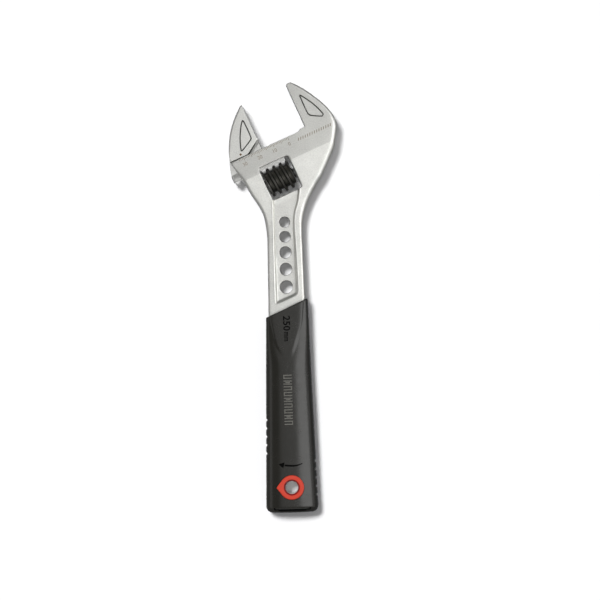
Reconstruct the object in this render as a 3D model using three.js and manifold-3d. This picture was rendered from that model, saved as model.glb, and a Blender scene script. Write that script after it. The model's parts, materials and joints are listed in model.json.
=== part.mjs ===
// Adjustable wrench of the 250 mm class: a forged body with the fixed jaw, a sliding jaw driven by
// a worm on a screwed-in pin, and a two-part moulded grip on the tang. Millimetres, +Z up, lying
// flat with the head towards +Y.
import * as THREE from 'three';
import { mergeVertices } from 'three/addons/utils/BufferGeometryUtils.js';
import Module from 'manifold-3d';

const wasm = await Module();
wasm.setup();

// ---- Driving dimensions ----
// Head frame: s runs along the slide towards the fixed jaw, t from the throat to the jaw tips, and
// the corner of fixed jaw and throat is its origin. The handle lies along -Y.
const HEAD_ANGLE = THREE.MathUtils.degToRad(23);
const HEAD_THICKNESS = 15;
const EDGE_BEVEL = 1.2;
const JAW_LENGTH = 28.5;
const JAW_OPENING = 30;
const JAW_TIP_CHAMFER = 1.2;
const JAW_TIP_LAND = 3;
const THROAT_DEPTH = 1.5;
const THROAT_LENGTH = 51.3;
const LAND_DEPTH = 0.3;
const LAND_LENGTH = 3.6;
const LAND_RAMP = 1.4;
const BAND_HEIGHT = 15.2;
const NECK_LENGTH = 45;
// Back of the fixed jaw: distance behind its face, and height as a share of the jaw's length.
const FIXED_JAW_BACK = [[7.5, 0.82], [12.5, 0.54], [16.9, 0.22], [19, -0.09]];
// Right side of the head below the jaw, in the head frame.
const HEAD_SIDE = [[18, -8.5], [13.4, -15.8], [10.2, -20.2]];
const BAND_LEFT_DEPTH = 7;
const BAND_LEFT_INSET = 1;
// How far the neck flares out beyond the shank, at each y.
const NECK_RIGHT = [[13.35, -30.5], [10.35, -35], [7.45, -40], [4.75, -45], [2.75, -50], [1.15, -55],
  [0.35, -60], [0, -66]];
const NECK_LEFT = [[0, -69], [0.9, -59.9], [2.4, -53.4], [5.8, -46.8], [10, -40.2], [13.7, -33.1]];
// Rounded triangles engraved on the jaws: distance behind the jaw's face, and height.
const GROOVE_WIDTH = 0.8;
const GROOVE_DEPTH = 0.5;
const FIXED_JAW_GROOVE = [[5.2, 19.3], [8.6, 14.4], [11.6, 8.6], [13.8, 2], [12.3, 0.8], [5.6, 4.4],
  [4.5, 6], [4.5, 18]];
const SLIDING_JAW_GROOVE = [[3.6, 19.6], [2.8, 18], [2.8, 7.5], [4, 5.8], [11.4, 1.9], [12.5, 2.4],
  [10.2, 9.2], [6.6, 16]];

const AXIS_X = -14.25;
const SHANK_THICKNESS = 10;
const SHANK_BEVEL = 1.8;
const NECK_HALF_WIDTH = 10.85;
const SHANK_HALF_WIDTH = 11.5;
const SHANK_LENGTH = 112;
const SHANK_IN_GRIP = 6;

const PANEL_DEPTH = 1.4;
const PANEL_TOP_HALF_WIDTH = 5.75;
const PANEL_END_HALF_WIDTH = 7;
const PANEL_TO_GRIP = 4.6;
const PANEL_CORNER = 1.2;
const PANEL_OVER_WINDOW = 2;
const PANEL_LEFT_INSET = 0.4;
const PANEL_RIGHT_INSET = 0.8;
const PANEL_LEFT_LEAN = 0.3;
const PANEL_LEFT_LEAN_LENGTH = 6;
// How far the panel's right wall lies beyond its narrowest half width, at each y.
const PANEL_RIGHT = [[0.6, -77], [0, -61], [0.7, -53], [2.8, -45.6]];
const HOLE_COUNT = 5;
const FIRST_HOLE_DIAMETER = 6.5;
const HOLE_GROWTH = 0.37;
const HOLE_BRIDGE = 2.4;
const BRIDGE_GROWTH = 0.27;
const LAST_HOLE_TO_GRIP = 13;

const WINDOW_LENGTH = 20;
const WINDOW_TOP = 11.7;
const WINDOW_HEIGHT = 21.8;
const WINDOW_RIGHT = 17.1;
const WINDOW_RADIUS = 1.6;

const WORM_RADIUS = 8.7;
const WORM_ROOT_RADIUS = 6.4;
const WORM_END_GAP = 0.6;
const WORM_LENGTH = 17.6;
const PITCH = 4.35;
const THREAD_CREST = 1.25;
const THREAD_BASE = 2.55;
const WORM_PHASE = -32.6;
const WORM_CHAMFER = 0.8;
const STEPS_A_TURN = 28;

const PIN_RADIUS = 2.5;
const PIN_HEAD_RADIUS = 3.6;
const PIN_HEAD_LENGTH = 2.4;
const PIN_FROM_FACE = 45.4;
const PIN_GRIP_LENGTH = 8;
const PIN_SLOT_WIDTH = 1.1;
const SPRING_WIRE = 0.9;
const SPRING_TURNS = 4.5;
const SPRING_POCKET_DEPTH = 8;

const RAIL_RADIUS = 4.1;
const RAIL_DEPTH = 12.1;
const RAIL_LENGTH = 34.8;
const RAIL_RIGHT = 10.4;
const RAIL_LEFT_ROUND = 1.4;
const RAIL_LEFT_BREAK = 0.4;
const RAIL_RIGHT_BREAK = 0.5;
const RACK_ROOT_CLEARANCE = 0.3;
const FLANK_CLEARANCE = 0.25;
const WEB_THICKNESS = 5;
const WEB_RELIEF = 9.5;
const RELIEF_HEIGHT = 6;
const BORE_END_WALL = 12.4;
const BAND_CLEARANCE = 0.4;
// Back of the sliding jaw: distance behind its face, and height as a share of the jaw's length.
const SLIDING_JAW_BACK = [[6, 0.84], [10, 0.7], [14, 0.525], [17, 0.35], [19.5, 0.17]];
const SLIDING_JAW_DEPTH = 21.4;
const WEB_TOP_DEPTH = 18;
// Back of the web: distance behind the jaw's face, and height.
const WEB_BACK = [[21.2, 0], [22.7, -4], [23.8, -8]];
const WEB_BACK_INSET = 0.8;

const GRIP_LENGTH = 126.5;
const GRIP_TOP_HALF_WIDTH = 13.05;
const GRIP_END_HALF_WIDTH = 16.25;
const GRIP_TOP_HALF_THICKNESS = 7.6;
const GRIP_HALF_THICKNESS = 9;
const GRIP_THICK_AT = 0.3;
const GRIP_END_RADIUS = 4;
const GRIP_END_FLATNESS = 0.8;
// The grip's section is a superellipse, squarer where it starts on the shank.
const GRIP_POWER = 2.7;
const GRIP_TOP_POWER = 5.5;
const GRIP_SQUARE_LENGTH = 38;
const GRIP_WALL = 2.2;
const TANG_HALF_WIDTH = 7.4;
const TANG_THICKNESS = 7;
const TANG_TO_HOLE = 12;
const TANG_END_CHAMFER = 2;
const HANG_HOLE_RADIUS = 4;
const HANG_HOLE_TO_END = 15.6;
const HANG_HOLE_FLARE = 0.6;
const BOSS_RADIUS = 7.6;
const BOSS_POINT = 9.5;
const BOSS_SINK = 0.35;
const NOTCH_COUNT = 5;
const NOTCH_PITCH = 5.2;
const NOTCH_RADIUS = 1.2;
const NOTCH_DEPTH = 0.8;
const FIRST_NOTCH_TO_END = 57.4;

// Clearances between pieces
const GAP = 0.3;
const RUNNING_CLEARANCE = 0.08;

// ---- Derived dimensions ----
const HEAD_HALF = HEAD_THICKNESS / 2;
const SHANK_HALF = SHANK_THICKNESS / 2;
const WINDOW_BOTTOM = WINDOW_TOP + WINDOW_HEIGHT;
const WINDOW_LEFT = WINDOW_RIGHT + WINDOW_LENGTH;
const WORM_LEFT = -WINDOW_LEFT + WORM_END_GAP;
const WORM_RIGHT = WORM_LEFT + WORM_LENGTH;
const RACK_TIP = RAIL_DEPTH + RAIL_RADIUS;
const WORM_AXIS = RACK_TIP + GAP + WORM_ROOT_RADIUS;
const RACK_ROOT = WORM_AXIS - WORM_RADIUS - RACK_ROOT_CLEARANCE;
const LEAD_SLOPE = PITCH / (Math.PI * (WORM_RADIUS + WORM_ROOT_RADIUS));
const PIN_LEFT = -PIN_FROM_FACE;
const PIN_RIGHT = -WINDOW_RIGHT + PIN_GRIP_LENGTH;
const RAIL_LEFT = -JAW_OPENING + RAIL_RIGHT - RAIL_LENGTH;
const BUTT_Y = -SHANK_LENGTH - GRIP_LENGTH;
const HANG_HOLE_Y = BUTT_Y + HANG_HOLE_TO_END;
const TANG_END_Y = HANG_HOLE_Y + TANG_TO_HOLE;
const BOSS_HALF_HEIGHT = GRIP_HALF_THICKNESS - BOSS_SINK;

const FAR = 400;
const ROUND = 32;
const PIN_ROUND = 24;
const BOSS_ROUND = 10;
const NOTCH_ROUND = 10;

// ---- Materials ----
function surface(color, roughness, metalness) {
  return new THREE.MeshStandardMaterial({ color, roughness, metalness });
}

const blastedSteel = surface(0xc4c4be, 0.42, 1);
const groundSteel = surface(0xb9b9b4, 0.36, 1);
const blackenedSteel = surface(0x1e1c18, 0.4, 0.7);
const zincSteel = surface(0xa9a9a6, 0.35, 1);
const springSteel = surface(0x6f7073, 0.3, 1);
const redPlastic = surface(0xd6442c, 0.5, 0);
const softBlack = surface(0x2d2d29, 0.72, 0);

// ---- Solids ----
const WELD = 1e-4;
const SHORTEST_EDGE = 0.02;

function solid(geometry) {
  const plain = geometry.clone();
  plain.deleteAttribute('normal');
  plain.deleteAttribute('uv');
  const merged = mergeVertices(plain, WELD);
  const index = merged.index.array;
  const triVerts = [];
  for (let i = 0; i < index.length; i += 3) {
    const [a, b, c] = [index[i], index[i + 1], index[i + 2]];
    if (a !== b && b !== c && c !== a) triVerts.push(a, b, c);
  }
  return new wasm.Manifold(new wasm.Mesh({
    numProp: 3,
    vertProperties: new Float32Array(merged.attributes.position.array),
    triVerts: new Uint32Array(triVerts),
  }));
}

function meshOf(name, body, material) {
  const result = body.getMesh();
  const geometry = new THREE.BufferGeometry();
  const places = new Float32Array(result.vertProperties);
  geometry.setAttribute('position', new THREE.BufferAttribute(places, 3));
  geometry.setIndex(new THREE.BufferAttribute(new Uint32Array(result.triVerts), 1));
  geometry.computeVertexNormals();
  const mesh = new THREE.Mesh(geometry, material);
  mesh.name = name;
  return mesh;
}

// A plate of the given outline, centred on the mid-plane, with its rim bevelled inwards.
function plate(shape, halfThickness, bevel = 0, curveSegments = 5) {
  const points = shape.getPoints(curveSegments);
  const next = (i) => points[(i + 1) % points.length];
  const apart = points.filter((point, i) => point.distanceTo(next(i)) > SHORTEST_EDGE);
  const geometry = new THREE.ExtrudeGeometry(new THREE.Shape(apart), {
    depth: 2 * (halfThickness - bevel),
    bevelEnabled: bevel > 0,
    bevelThickness: bevel,
    bevelSize: bevel,
    bevelOffset: -bevel,
    bevelSegments: 2,
  });
  return geometry.translate(0, 0, bevel - halfThickness);
}

// A round bar along s at depth t below the throat, from one s to another.
function barAlongS(radius, from, to, depth, segments = ROUND) {
  const geometry = new THREE.CylinderGeometry(radius, radius, to - from, segments);
  return geometry.rotateZ(-Math.PI / 2).translate((from + to) / 2, -depth, 0);
}

// A block between two corners in whatever frame its caller works in.
function block(x0, x1, y0, y1, z0, z1) {
  const geometry = new THREE.BoxGeometry(x1 - x0, y1 - y0, z1 - z0);
  return geometry.translate((x0 + x1) / 2, (y0 + y1) / 2, (z0 + z1) / 2);
}

const turned = (geometry) => geometry.rotateZ(HEAD_ANGLE);
const polygon = (points) => new THREE.Shape(points.map(([x, y]) => new THREE.Vector2(x, y)));

// A head-frame point in the handle frame.
function atHead(s, t) {
  return new THREE.Vector2(s, t).rotateAround(new THREE.Vector2(), HEAD_ANGLE);
}

// The y of the slanted line that is t from the throat, at a given x.
const slantedY = (t, x) => (t + x * Math.sin(HEAD_ANGLE)) / Math.cos(HEAD_ANGLE);
const T_AT_GRIP = -SHANK_LENGTH * Math.cos(HEAD_ANGLE) - AXIS_X * Math.sin(HEAD_ANGLE);

// ---- Engraved rounded triangle on each jaw ----
function triangleGroove(points, face, side) {
  const corners = points.map(([back, t]) => new THREE.Vector2(face + side * back, t));
  const centre = new THREE.Vector2();
  corners.forEach((corner) => centre.add(corner));
  centre.divideScalar(corners.length);
  const outer = new THREE.SplineCurve([...corners, corners[0]]).getPoints(40);
  const inner = outer.map((p) => {
    const fromCentre = p.clone().sub(centre);
    return fromCentre.setLength(fromCentre.length() - GROOVE_WIDTH).add(centre);
  });
  const ring = solid(plate(new THREE.Shape(outer), GROOVE_DEPTH))
    .subtract(solid(plate(new THREE.Shape(inner), 2 * GROOVE_DEPTH)));
  return ring.translate(0, 0, HEAD_HALF).add(ring.translate(0, 0, -HEAD_HALF));
}

// ---- Body: fixed jaw, band, neck, shank and tang in one forging ----
function bodyOutline(widthAllowance = 0) {
  const shape = new THREE.Shape();
  const line = (p) => shape.lineTo(p.x, p.y);
  const start = atHead(0, -LAND_DEPTH);
  shape.moveTo(start.x, start.y);
  line(atHead(0, JAW_LENGTH - JAW_TIP_CHAMFER));
  line(atHead(JAW_TIP_CHAMFER, JAW_LENGTH));
  line(atHead(JAW_TIP_LAND, JAW_LENGTH));
  const shankTop = NECK_HALF_WIDTH + widthAllowance;
  const shankEnd = SHANK_HALF_WIDTH + widthAllowance;
  shape.splineThru([
    ...FIXED_JAW_BACK.map(([s, share]) => atHead(s, share * JAW_LENGTH)),
    ...HEAD_SIDE.map(([s, t]) => atHead(s, t)),
    ...NECK_RIGHT.map(([out, y]) => new THREE.Vector2(AXIS_X + shankTop + out, y)),
  ]);
  const shoulder = T_AT_GRIP - SHANK_IN_GRIP;
  const onShoulder = (x) => shape.lineTo(x, slantedY(shoulder, x));
  onShoulder(AXIS_X + shankEnd);
  onShoulder(AXIS_X + TANG_HALF_WIDTH);
  shape.lineTo(AXIS_X + TANG_HALF_WIDTH, TANG_END_Y + TANG_END_CHAMFER);
  shape.lineTo(AXIS_X + TANG_HALF_WIDTH - TANG_END_CHAMFER, TANG_END_Y);
  shape.lineTo(AXIS_X - TANG_HALF_WIDTH + TANG_END_CHAMFER, TANG_END_Y);
  shape.lineTo(AXIS_X - TANG_HALF_WIDTH, TANG_END_Y + TANG_END_CHAMFER);
  onShoulder(AXIS_X - TANG_HALF_WIDTH);
  onShoulder(AXIS_X - shankEnd);
  const [neckEnd, ...neck] = NECK_LEFT.map(([out, y]) => new THREE.Vector2(AXIS_X - shankTop - out, y));
  line(neckEnd);
  shape.splineThru([...neck, atHead(BAND_LEFT_INSET - THROAT_LENGTH, -BAND_LEFT_DEPTH)]);
  line(atHead(-THROAT_LENGTH, -THROAT_DEPTH));
  line(atHead(-LAND_LENGTH - LAND_RAMP, -THROAT_DEPTH));
  line(atHead(-LAND_LENGTH, -LAND_DEPTH));
  return shape;
}

// The side view: full thickness through the band, falling to the shank, stepped down at the tang.
function thicknessProfile() {
  const tangTop = T_AT_GRIP - SHANK_IN_GRIP;
  const upper = [
    [FAR, HEAD_HALF],
    [-BAND_HEIGHT, HEAD_HALF],
    [-NECK_LENGTH, SHANK_HALF],
    [tangTop, SHANK_HALF],
    [tangTop, TANG_THICKNESS / 2],
    [-FAR, TANG_THICKNESS / 2],
  ];
  const lower = upper.map(([t, z]) => [t, -z]).reverse();
  const geometry = new THREE.ExtrudeGeometry(polygon([...upper, ...lower]), {
    depth: 2 * FAR,
    bevelEnabled: false,
  });
  // Profile (t, z) extruded along s.
  const basis = new THREE.Matrix4().makeBasis(
    new THREE.Vector3(0, 1, 0), new THREE.Vector3(0, 0, 1), new THREE.Vector3(1, 0, 0),
  );
  return turned(geometry.translate(0, 0, -FAR).applyMatrix4(basis));
}

function windowCut() {
  const shape = new THREE.Shape();
  const [x0, x1, y0, y1, r] = [-WINDOW_LEFT, -WINDOW_RIGHT, -WINDOW_BOTTOM, -WINDOW_TOP, WINDOW_RADIUS];
  shape.moveTo(x0 + r, y0);
  shape.lineTo(x1 - r, y0);
  shape.absarc(x1 - r, y0 + r, r, -Math.PI / 2, 0);
  shape.absarc(x1 - r, y1 - r, r, 0, Math.PI / 2);
  shape.absarc(x0 + r, y1 - r, r, Math.PI / 2, Math.PI);
  shape.absarc(x0 + r, y0 + r, r, Math.PI, 1.5 * Math.PI);
  return turned(plate(shape, HEAD_THICKNESS, 0, 2));
}

function panelCut() {
  const shape = new THREE.Shape();
  const top = PANEL_OVER_WINDOW - WINDOW_BOTTOM;
  const cornerLeft = atHead(-WINDOW_LEFT + PANEL_LEFT_INSET, top);
  const cornerRight = atHead(-WINDOW_RIGHT - PANEL_RIGHT_INSET, top);
  const left = AXIS_X - PANEL_END_HALF_WIDTH;
  const right = AXIS_X + PANEL_END_HALF_WIDTH;
  const endY = (x) => slantedY(T_AT_GRIP + PANEL_TO_GRIP, x);
  shape.moveTo(cornerLeft.x, cornerLeft.y);
  shape.lineTo(cornerLeft.x + PANEL_LEFT_LEAN, cornerLeft.y - PANEL_LEFT_LEAN_LENGTH);
  shape.lineTo(left, endY(left) + PANEL_CORNER);
  shape.quadraticCurveTo(left, endY(left), left + PANEL_CORNER, endY(left + PANEL_CORNER));
  shape.lineTo(right - PANEL_CORNER, endY(right - PANEL_CORNER));
  shape.quadraticCurveTo(right, endY(right), right, endY(right) + PANEL_CORNER);
  const narrowest = AXIS_X + PANEL_TOP_HALF_WIDTH;
  shape.splineThru([...PANEL_RIGHT.map(([out, y]) => new THREE.Vector2(narrowest + out, y)), cornerRight]);
  const pocket = solid(plate(shape, HEAD_HALF));
  const floor = SHANK_HALF - PANEL_DEPTH;
  return pocket.translate(0, 0, HEAD_HALF + floor).add(pocket.translate(0, 0, -HEAD_HALF - floor));
}

// Lightening holes down the panel, each a little larger than the one above it.
function shankHoles() {
  let y = -SHANK_LENGTH + LAST_HOLE_TO_GRIP;
  let all = null;
  for (let i = HOLE_COUNT - 1; i >= 0; i -= 1) {
    const radius = (FIRST_HOLE_DIAMETER + i * HOLE_GROWTH) / 2;
    const cylinder = new THREE.CylinderGeometry(radius, radius, FAR, ROUND);
    const cut = solid(cylinder.rotateX(Math.PI / 2).translate(AXIS_X, y, 0));
    all = all ? all.add(cut) : cut;
    y += 2 * radius - HOLE_GROWTH / 2 + HOLE_BRIDGE + (i - 1) * BRIDGE_GROWTH;
  }
  return all;
}

// The keyhole that guides the sliding jaw: a round bore and the slot above it.
function keyholeCut() {
  const bore = barAlongS(RAIL_RADIUS + GAP, -FAR, BORE_END_WALL, RAIL_DEPTH);
  const halfSlot = WEB_THICKNESS / 2 + GAP;
  const slot = block(-FAR, GAP, -RAIL_DEPTH, GAP, -halfSlot, halfSlot);
  return solid(turned(bore)).add(solid(turned(slot)));
}

function pinHoleCut() {
  const hole = barAlongS(PIN_RADIUS + GAP, -FAR, PIN_RIGHT + GAP, WORM_AXIS, PIN_ROUND);
  const headEnd = PIN_LEFT + PIN_HEAD_LENGTH + GAP;
  const counterbore = barAlongS(PIN_HEAD_RADIUS + GAP, -FAR, headEnd, WORM_AXIS, PIN_ROUND);
  return solid(turned(hole)).add(solid(turned(counterbore)));
}

function makeBody() {
  const head = solid(plate(bodyOutline(), HEAD_HALF, EDGE_BEVEL)).intersect(solid(thicknessProfile()));
  const shank = solid(plate(bodyOutline(), SHANK_HALF, SHANK_BEVEL)).intersect(solid(thicknessProfile()));
  const groove = triangleGroove(FIXED_JAW_GROOVE, 0, 1).rotate(0, 0, THREE.MathUtils.radToDeg(HEAD_ANGLE));
  const neckEnd = solid(turned(block(-FAR, FAR, -NECK_LENGTH, FAR, -FAR, FAR)));
  return head.intersect(neckEnd)
    .add(shank)
    .subtract(solid(windowCut()))
    .subtract(panelCut())
    .subtract(shankHoles())
    .subtract(keyholeCut())
    .subtract(pinHoleCut())
    .subtract(groove);
}

// ---- Sliding jaw: jaw plate, web through the slot, and the round rail with its rack ----
function jawPlateShape() {
  const face = -JAW_OPENING;
  const bottom = -THROAT_DEPTH + BAND_CLEARANCE;
  const shape = new THREE.Shape();
  shape.moveTo(face, bottom + RELIEF_HEIGHT);
  shape.lineTo(face, JAW_LENGTH - JAW_TIP_CHAMFER);
  shape.lineTo(face - JAW_TIP_CHAMFER, JAW_LENGTH);
  const back = SLIDING_JAW_BACK.map(([behind, share]) => new THREE.Vector2(face - behind, share * JAW_LENGTH));
  shape.splineThru(back);
  shape.lineTo(face - SLIDING_JAW_DEPTH, bottom);
  shape.lineTo(face - WEB_RELIEF, bottom);
  return shape;
}

function jawWebShape() {
  const face = -JAW_OPENING;
  const shape = new THREE.Shape();
  shape.moveTo(face, -RAIL_DEPTH);
  shape.lineTo(face, RELIEF_HEIGHT);
  shape.lineTo(face - WEB_TOP_DEPTH, RELIEF_HEIGHT);
  shape.splineThru([
    ...WEB_BACK.map(([back, t]) => new THREE.Vector2(face - back, t)),
    new THREE.Vector2(RAIL_LEFT + WEB_BACK_INSET, -RAIL_DEPTH),
  ]);
  return shape;
}

// Grooves that the worm's thread runs in, leaning with its lead.
function rackCut() {
  const space = FLANK_CLEARANCE;
  const rise = RACK_TIP - RACK_ROOT;
  const threadDepth = WORM_RADIUS - WORM_ROOT_RADIUS;
  const flank = (THREAD_BASE - THREAD_CREST) / 2 / threadDepth;
  const atRoot = THREAD_CREST / 2 + space - flank * RACK_ROOT_CLEARANCE;
  const atTip = atRoot + flank * (rise + 1);
  let all = null;
  const first = Math.ceil((RAIL_LEFT - WORM_PHASE) / PITCH);
  const last = Math.floor((-JAW_OPENING + RAIL_RIGHT - WORM_PHASE + atTip) / PITCH);
  for (let k = first; k <= last; k += 1) {
    const s = WORM_PHASE + k * PITCH;
    const groove = plate(polygon([
      [s - atRoot, -RACK_ROOT],
      [s - atTip, -RACK_TIP - 1],
      [s + atTip, -RACK_TIP - 1],
      [s + atRoot, -RACK_ROOT],
    ]), RAIL_RADIUS + 1);
    groove.applyMatrix4(new THREE.Matrix4().makeShear(0, 0, 0, 0, LEAD_SLOPE, 0));
    const cut = solid(groove);
    all = all ? all.add(cut) : cut;
  }
  return all;
}

function makeSlidingJaw() {
  const rail = new THREE.LatheGeometry([
    new THREE.Vector2(0, 0),
    new THREE.Vector2(RAIL_RADIUS - RAIL_LEFT_ROUND, 0),
    new THREE.Vector2(RAIL_RADIUS - RAIL_LEFT_BREAK, RAIL_LEFT_BREAK),
    new THREE.Vector2(RAIL_RADIUS, RAIL_LEFT_ROUND),
    new THREE.Vector2(RAIL_RADIUS, RAIL_LENGTH - RAIL_RIGHT_BREAK),
    new THREE.Vector2(RAIL_RADIUS - RAIL_RIGHT_BREAK, RAIL_LENGTH),
    new THREE.Vector2(0, RAIL_LENGTH),
  ], ROUND);
  return solid(plate(jawPlateShape(), HEAD_HALF, EDGE_BEVEL))
    .add(solid(plate(jawWebShape(), WEB_THICKNESS / 2)))
    .add(solid(rail.rotateZ(-Math.PI / 2).translate(RAIL_LEFT, -RAIL_DEPTH, 0)))
    .subtract(rackCut())
    .subtract(triangleGroove(SLIDING_JAW_GROOVE, -JAW_OPENING, -1));
}

// ---- Worm ----
// Winds a straight bar, modelled along z with its section in x (along the axis) and y (outwards),
// into a right-handed helix about the s axis.
function wound(geometry, turns, pitch) {
  const position = geometry.attributes.position;
  for (let i = 0; i < position.count; i += 1) {
    const angle = position.getZ(i) * turns * 2 * Math.PI;
    const radius = position.getY(i);
    const s = position.getX(i) + position.getZ(i) * turns * pitch;
    position.setXYZ(i, s, radius * Math.cos(angle), radius * Math.sin(angle));
  }
  return geometry;
}

function makeWorm() {
  const turns = Math.ceil(WORM_LENGTH / PITCH) + 2;
  const bar = new THREE.ExtrudeGeometry(polygon([
    [-THREAD_BASE / 2, WORM_ROOT_RADIUS - 1],
    [THREAD_BASE / 2, WORM_ROOT_RADIUS - 1],
    [THREAD_BASE / 2, WORM_ROOT_RADIUS],
    [THREAD_CREST / 2, WORM_RADIUS],
    [-THREAD_CREST / 2, WORM_RADIUS],
    [-THREAD_BASE / 2, WORM_ROOT_RADIUS],
  ]), { depth: 1, steps: turns * STEPS_A_TURN, bevelEnabled: false });
  const startTurns = Math.floor((WORM_LEFT - WORM_PHASE) / PITCH) - 1;
  const thread = wound(bar, turns, PITCH).translate(WORM_PHASE + startTurns * PITCH, -WORM_AXIS, 0);
  const faceRadius = WORM_RADIUS - WORM_CHAMFER;
  const blankRadius = WORM_RADIUS + RUNNING_CLEARANCE;
  const blank = new THREE.LatheGeometry([
    new THREE.Vector2(0, 0),
    new THREE.Vector2(faceRadius, 0),
    new THREE.Vector2(blankRadius, WORM_CHAMFER),
    new THREE.Vector2(blankRadius, WORM_LENGTH - WORM_CHAMFER),
    new THREE.Vector2(faceRadius, WORM_LENGTH),
    new THREE.Vector2(0, WORM_LENGTH),
  ], ROUND).rotateZ(-Math.PI / 2).translate(WORM_LEFT, -WORM_AXIS, 0);
  const pocketRadius = PIN_RADIUS + RUNNING_CLEARANCE + SPRING_WIRE + 2 * GAP;
  const pocketEnd = WORM_RIGHT - SPRING_POCKET_DEPTH;
  return solid(barAlongS(WORM_ROOT_RADIUS, WORM_LEFT - 1, WORM_RIGHT + 1, WORM_AXIS, STEPS_A_TURN))
    .add(solid(thread))
    .intersect(solid(blank))
    .subtract(solid(barAlongS(PIN_RADIUS + RUNNING_CLEARANCE, -FAR, FAR, WORM_AXIS, PIN_ROUND)))
    .subtract(solid(barAlongS(pocketRadius, pocketEnd, FAR, WORM_AXIS, PIN_ROUND)));
}

// The pin is screwed in from the open side of the head; its slotted head sits in a counterbore.
function makePin() {
  const head = barAlongS(PIN_HEAD_RADIUS, PIN_LEFT, PIN_LEFT + PIN_HEAD_LENGTH, WORM_AXIS, PIN_ROUND);
  const halfSlot = PIN_SLOT_WIDTH / 2;
  const slotEnd = PIN_LEFT + PIN_HEAD_LENGTH / 2;
  const slot = block(-FAR, slotEnd, -WORM_AXIS - halfSlot, -WORM_AXIS + halfSlot, -FAR, FAR);
  return solid(barAlongS(PIN_RADIUS, PIN_LEFT, PIN_RIGHT, WORM_AXIS, PIN_ROUND))
    .add(solid(head))
    .subtract(solid(slot));
}

// Compression spring in the worm's pocket, around the pin, pressing on the window's wall.
function makeSpring() {
  const wireRadius = SPRING_WIRE / 2;
  const from = WORM_RIGHT - SPRING_POCKET_DEPTH + GAP + wireRadius;
  const to = -WINDOW_RIGHT - GAP - wireRadius;
  const section = new THREE.Shape();
  section.absarc(0, PIN_RADIUS + GAP + wireRadius, wireRadius, 0, 2 * Math.PI);
  const bar = new THREE.ExtrudeGeometry(section, {
    depth: 1, steps: Math.round(SPRING_TURNS * 16), curveSegments: 3, bevelEnabled: false,
  });
  return solid(wound(bar, SPRING_TURNS, (to - from) / SPRING_TURNS).translate(from, -WORM_AXIS, 0));
}

// ---- Grip ----
const { clamp, lerp, smoothstep } = THREE.MathUtils;
const gripShare = (y) => clamp((-SHANK_LENGTH - y) / GRIP_LENGTH, 0, 1);
const gripHalfWidth = (y) => lerp(GRIP_TOP_HALF_WIDTH, GRIP_END_HALF_WIDTH, gripShare(y));
const gripHalfThickness = (y) => {
  const share = smoothstep(gripShare(y), 0, GRIP_THICK_AT);
  return lerp(GRIP_TOP_HALF_THICKNESS, GRIP_HALF_THICKNESS, share);
};
const gripPower = (y) => {
  const share = smoothstep(-SHANK_LENGTH - y, 0, GRIP_SQUARE_LENGTH);
  return lerp(GRIP_TOP_POWER, GRIP_POWER, share);
};
const GRIP_OVERRUN = 14;
const GRIP_STATIONS = 8;
const GRIP_STATION_PITCH = 6;
const GRIP_END_STATIONS = 5;

// The grip's outer form, or the form one inset inside it: an oval bar that widens towards the butt
// and is rounded there. It overruns the slanted line it is cut off at.
function gripForm(inset) {
  const circle = new THREE.Shape().absarc(0, 0, 1, 0, 2 * Math.PI);
  const end = BUTT_Y + inset;
  const radius = GRIP_END_RADIUS;
  const stations = [GRIP_OVERRUN - SHANK_LENGTH];
  for (let i = 0; i <= GRIP_STATIONS; i += 1) stations.push(-SHANK_LENGTH - i * GRIP_STATION_PITCH);
  for (let i = 0; i <= GRIP_END_STATIONS; i += 1) {
    stations.push(end + radius - radius * Math.sin(((i / GRIP_END_STATIONS) * Math.PI) / 2));
  }
  const steps = stations.length - 1;
  const geometry = new THREE.ExtrudeGeometry(circle, {
    depth: 1,
    steps,
    curveSegments: ROUND / 2,
    bevelEnabled: false,
  });
  const position = geometry.attributes.position;
  for (let i = 0; i < position.count; i += 1) {
    const y = stations[Math.round(position.getZ(i) * steps)];
    const into = Math.max(0, end + radius - y);
    const pulled = radius - Math.sqrt(Math.max(0, radius ** 2 - into ** 2));
    const squared = (value) => Math.sign(value) * Math.abs(value) ** (2 / gripPower(y));
    const x = squared(position.getX(i)) * (gripHalfWidth(y) - inset - pulled);
    const z = squared(position.getY(i)) * (gripHalfThickness(y) - inset - GRIP_END_FLATNESS * pulled);
    position.setXYZ(i, AXIS_X + x, y, z);
  }
  return solid(geometry);
}

// Everything on the butt's side of the slanted line that is t from the throat.
const below = (t) => solid(turned(block(-FAR, FAR, -2 * FAR, t, -FAR, FAR)));

// Teardrop that points away from the fixed jaw's side.
function bossShape(allowance) {
  const radius = BOSS_RADIUS + allowance;
  const point = BOSS_POINT + allowance;
  const spread = Math.acos(radius / point);
  const shape = new THREE.Shape();
  shape.moveTo(AXIS_X - point, HANG_HOLE_Y);
  shape.absarc(AXIS_X, HANG_HOLE_Y, radius, Math.PI + spread, Math.PI - spread + 2 * Math.PI, false);
  return shape;
}

function hangHoleCut() {
  const top = GRIP_HALF_THICKNESS;
  const flare = HANG_HOLE_RADIUS + HANG_HOLE_FLARE + BOSS_SINK;
  const straight = top - HANG_HOLE_FLARE - BOSS_SINK;
  const profile = [[0, -top], [flare, -top], [HANG_HOLE_RADIUS, -straight], [HANG_HOLE_RADIUS, straight],
    [flare, top], [0, top]];
  const geometry = new THREE.LatheGeometry(profile.map(([r, y]) => new THREE.Vector2(r, y)), ROUND);
  return solid(geometry.rotateX(Math.PI / 2).translate(AXIS_X, HANG_HOLE_Y, 0));
}

const shankPassage = () => solid(plate(bodyOutline(GAP), SHANK_HALF + GAP));

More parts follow.
